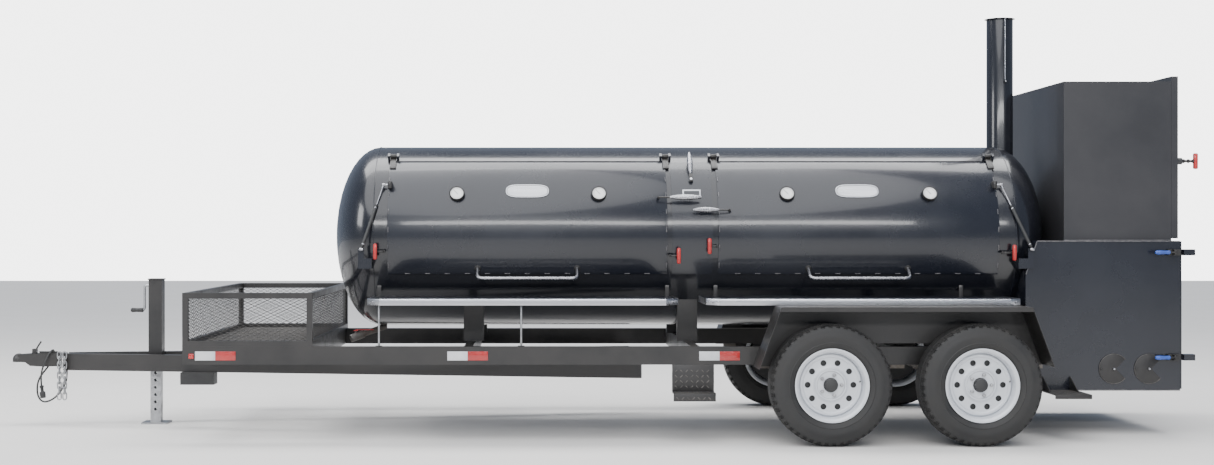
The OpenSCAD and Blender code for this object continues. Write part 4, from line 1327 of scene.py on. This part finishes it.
@dataclass
class JackHandle:
    """The jack's crank: a bent bar with a turned grip."""

    z: float = 0.858

    def build(self) -> None:
        """Make the crank."""
        crank = tube("bar",
                     rounded([(-2.660, 0, self.z), (-2.765, 0, self.z), (-2.765, 0, 0.704),
                              (-2.800, 0, 0.704)], 0.016), 0.0075)
        grip = lathe("grip",
                     [(0, 0), (0.010, 0), (0.014, 0.004), (0.0125, 0.035), (0.014, 0.070), (0.010, 0.078),
                      (0, 0.078)], steps=24, place=from_to((-2.772, 0, 0.704), (-1, 0, 0)))
        fit(join("jack_crank_bar", [paint(crank, ZINC_PLATE), paint(grip, BLACK_PLASTIC)]), "jack_crank",
            Slot.ZINC, "jack_crank")


def dress_frame_nodes(frame: dict) -> None:
    """Give every CAD node that still shows the finish of its slot."""
    own = {"cabinet_shell": CABINET_BLACK, "cabinet_door": CABINET_BLACK, "firebox_shell": DOOR_BLACK,
           "firebox_door": DOOR_BLACK,
           "coupler": FRAME_BLACK, "tank_fittings": DOOR_BLACK, "jack_leg": ZINC_PLATE}
    by_slot = {slot.value[0]: slot.value[1] for slot in Slot}
    slots = {part["node"]: part.get("material_slot") for part in frame["record"]["subparts"]}
    for name, obj in frame["nodes"].items():
        finish = own.get(name) or by_slot[slots[name]]
        obj.data.materials.clear()
        obj.data.materials.append(finish.material())
        log.info("%s keeps its CAD shape in %s", name, finish.name)


@dataclass
class Studio:
    """The pale floor, the soft lamps and the camera."""

    eye: Point = (-0.363, -10.174, 1.187)
    lens: float = 48.4
    shift: float = 0.0634
    floor_size: float = 60.0

    def camera(self) -> None:
        """Stand the camera square to the door side."""
        bpy.ops.object.camera_add(location=self.eye, rotation=(math.pi / 2, 0, 0))
        camera = bpy.context.object
        camera.data.lens = self.lens
        camera.data.sensor_width = 36
        camera.data.shift_x = self.shift
        camera.data.clip_end = 200
        bpy.context.scene.camera = camera

    def lamp(self, name: str, place: Point, aim: Point, size: tuple[float, float], watts: float) -> None:
        """Hang one rectangular soft lamp."""
        bpy.ops.object.light_add(type="AREA", location=place)
        light = bpy.context.object
        light.name = name
        light.rotation_euler = (Vector(aim) - Vector(place)).to_track_quat("-Z", "Y").to_euler()
        light.data.shape = "RECTANGLE"
        light.data.size, light.data.size_y = size
        light.data.energy = watts

    def sun(self) -> None:
        """Hang a broad soft sun high over the door side, to light the floor evenly."""
        bpy.ops.object.light_add(type="SUN", rotation=(math.radians(28), math.radians(-12), 0))
        light = bpy.context.object
        light.name = "soft_sun"
        light.data.angle = math.radians(70)
        light.data.energy = 3.2

    def sky(self) -> None:
        """Light the scene from a pale blue sky that the camera sees as white."""
        world = bpy.data.worlds.new("sky")
        bpy.context.scene.world = world
        world.use_nodes = True
        tree = world.node_tree
        glow = tree.nodes["Background"]
        glow.inputs["Color"].default_value = (0.66, 0.78, 1.0, 1)
        glow.inputs["Strength"].default_value = 0.42
        white = tree.nodes.new("ShaderNodeBackground")
        white.inputs["Strength"].default_value = 6.0
        blend = tree.nodes.new("ShaderNodeMixShader")
        path = tree.nodes.new("ShaderNodeLightPath")
        tree.links.new(path.outputs["Is Camera Ray"], blend.inputs[0])
        tree.links.new(glow.outputs[0], blend.inputs[1])
        tree.links.new(white.outputs[0], blend.inputs[2])
        tree.links.new(blend.outputs[0], tree.nodes["World Output"].inputs["Surface"])

    def build(self) -> None:
        """Lay the floor and hang the lamps."""
        bpy.ops.mesh.primitive_plane_add(size=self.floor_size, location=(0, 0, 0))
        floor = bpy.context.object
        floor.name = "floor"
        with editing(floor):
            bpy.ops.mesh.subdivide(number_cuts=3)
        paint(floor, PALE_FLOOR)
        self.sky()
        self.sun()
        self.lamp("long_lamp", (0, -15, 5.6), (0, 0, 1.2), (16, 1.2), 1100)
        self.lamp("top_lamp", (0, 1.5, 7.5), (0, 0, 1.0), (12, 3), 900)
        self.lamp("side_lamp", (-9, -3, 4.0), (0, 0, 1.0), (3, 3), 260)


def main() -> None:
    """Build the smoker's looks piece by piece."""
    logging.basicConfig(level=logging.INFO, format="%(name)s: %(message)s", stream=sys.stdout)
    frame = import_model()
    studio = Studio()
    studio.camera()
    LightCable().build()
    Tank().build()
    SmokerDoor("left", (-1.206, 0.448), (-1.205, 0.434), ((0.462, -0.556, 1.395), (0.646, -0.556, 1.395)),
               0.398, -1.232).build()
    SmokerDoor("right", (0.748, 2.405), (0.726, 2.384), ((0.747, -0.582, 1.320), (0.596, -0.582, 1.320)),
               0.812, 2.432).build()
    CentreBand().build()
    GasStrut("left", (-1.351, -0.624, 1.088), (-1.232, -0.488, 1.470)).build()
    GasStrut("right", (2.576, -0.624, 1.088), (2.432, -0.488, 1.470)).build()
    for number, (x, z,
                 reach) in enumerate(((-1.273, 1.075, 0.060), (0.511, 1.050, -0.058), (0.692, 1.106, 0.052),
                                      (2.482, 1.068, -0.072)), 1):
        DoorLatch(number, x, z, reach).build()
    SideShelf("left_shelf", (-1.290, 0.482), (-1.222, -0.413), (-1.260, 0.452)).build()
    SideShelf("right_shelf", (0.640, 2.431), (), (0.740, 2.200)).build()
    for code, x, side in (("fn", 1.307, -1), ("rn", 2.138, -1), ("ff", 1.307, 1), ("rf", 2.138, 1)):
        RoadWheel(code, x, side).build()
    Chimney().build()
    HitchChains().build()
    CargoBasket().build()
    TreadSteps().build()
    TrailerLamps().build()
    FireboxHardware().build()
    AirDamper(1, 3.060).build()
    AirDamper(2, 3.267).build()
    CabinetHandle().build()
    JackHandle().build()
    dress_frame_nodes(frame)
    studio.build()


if __name__ == "__main__":
    main()
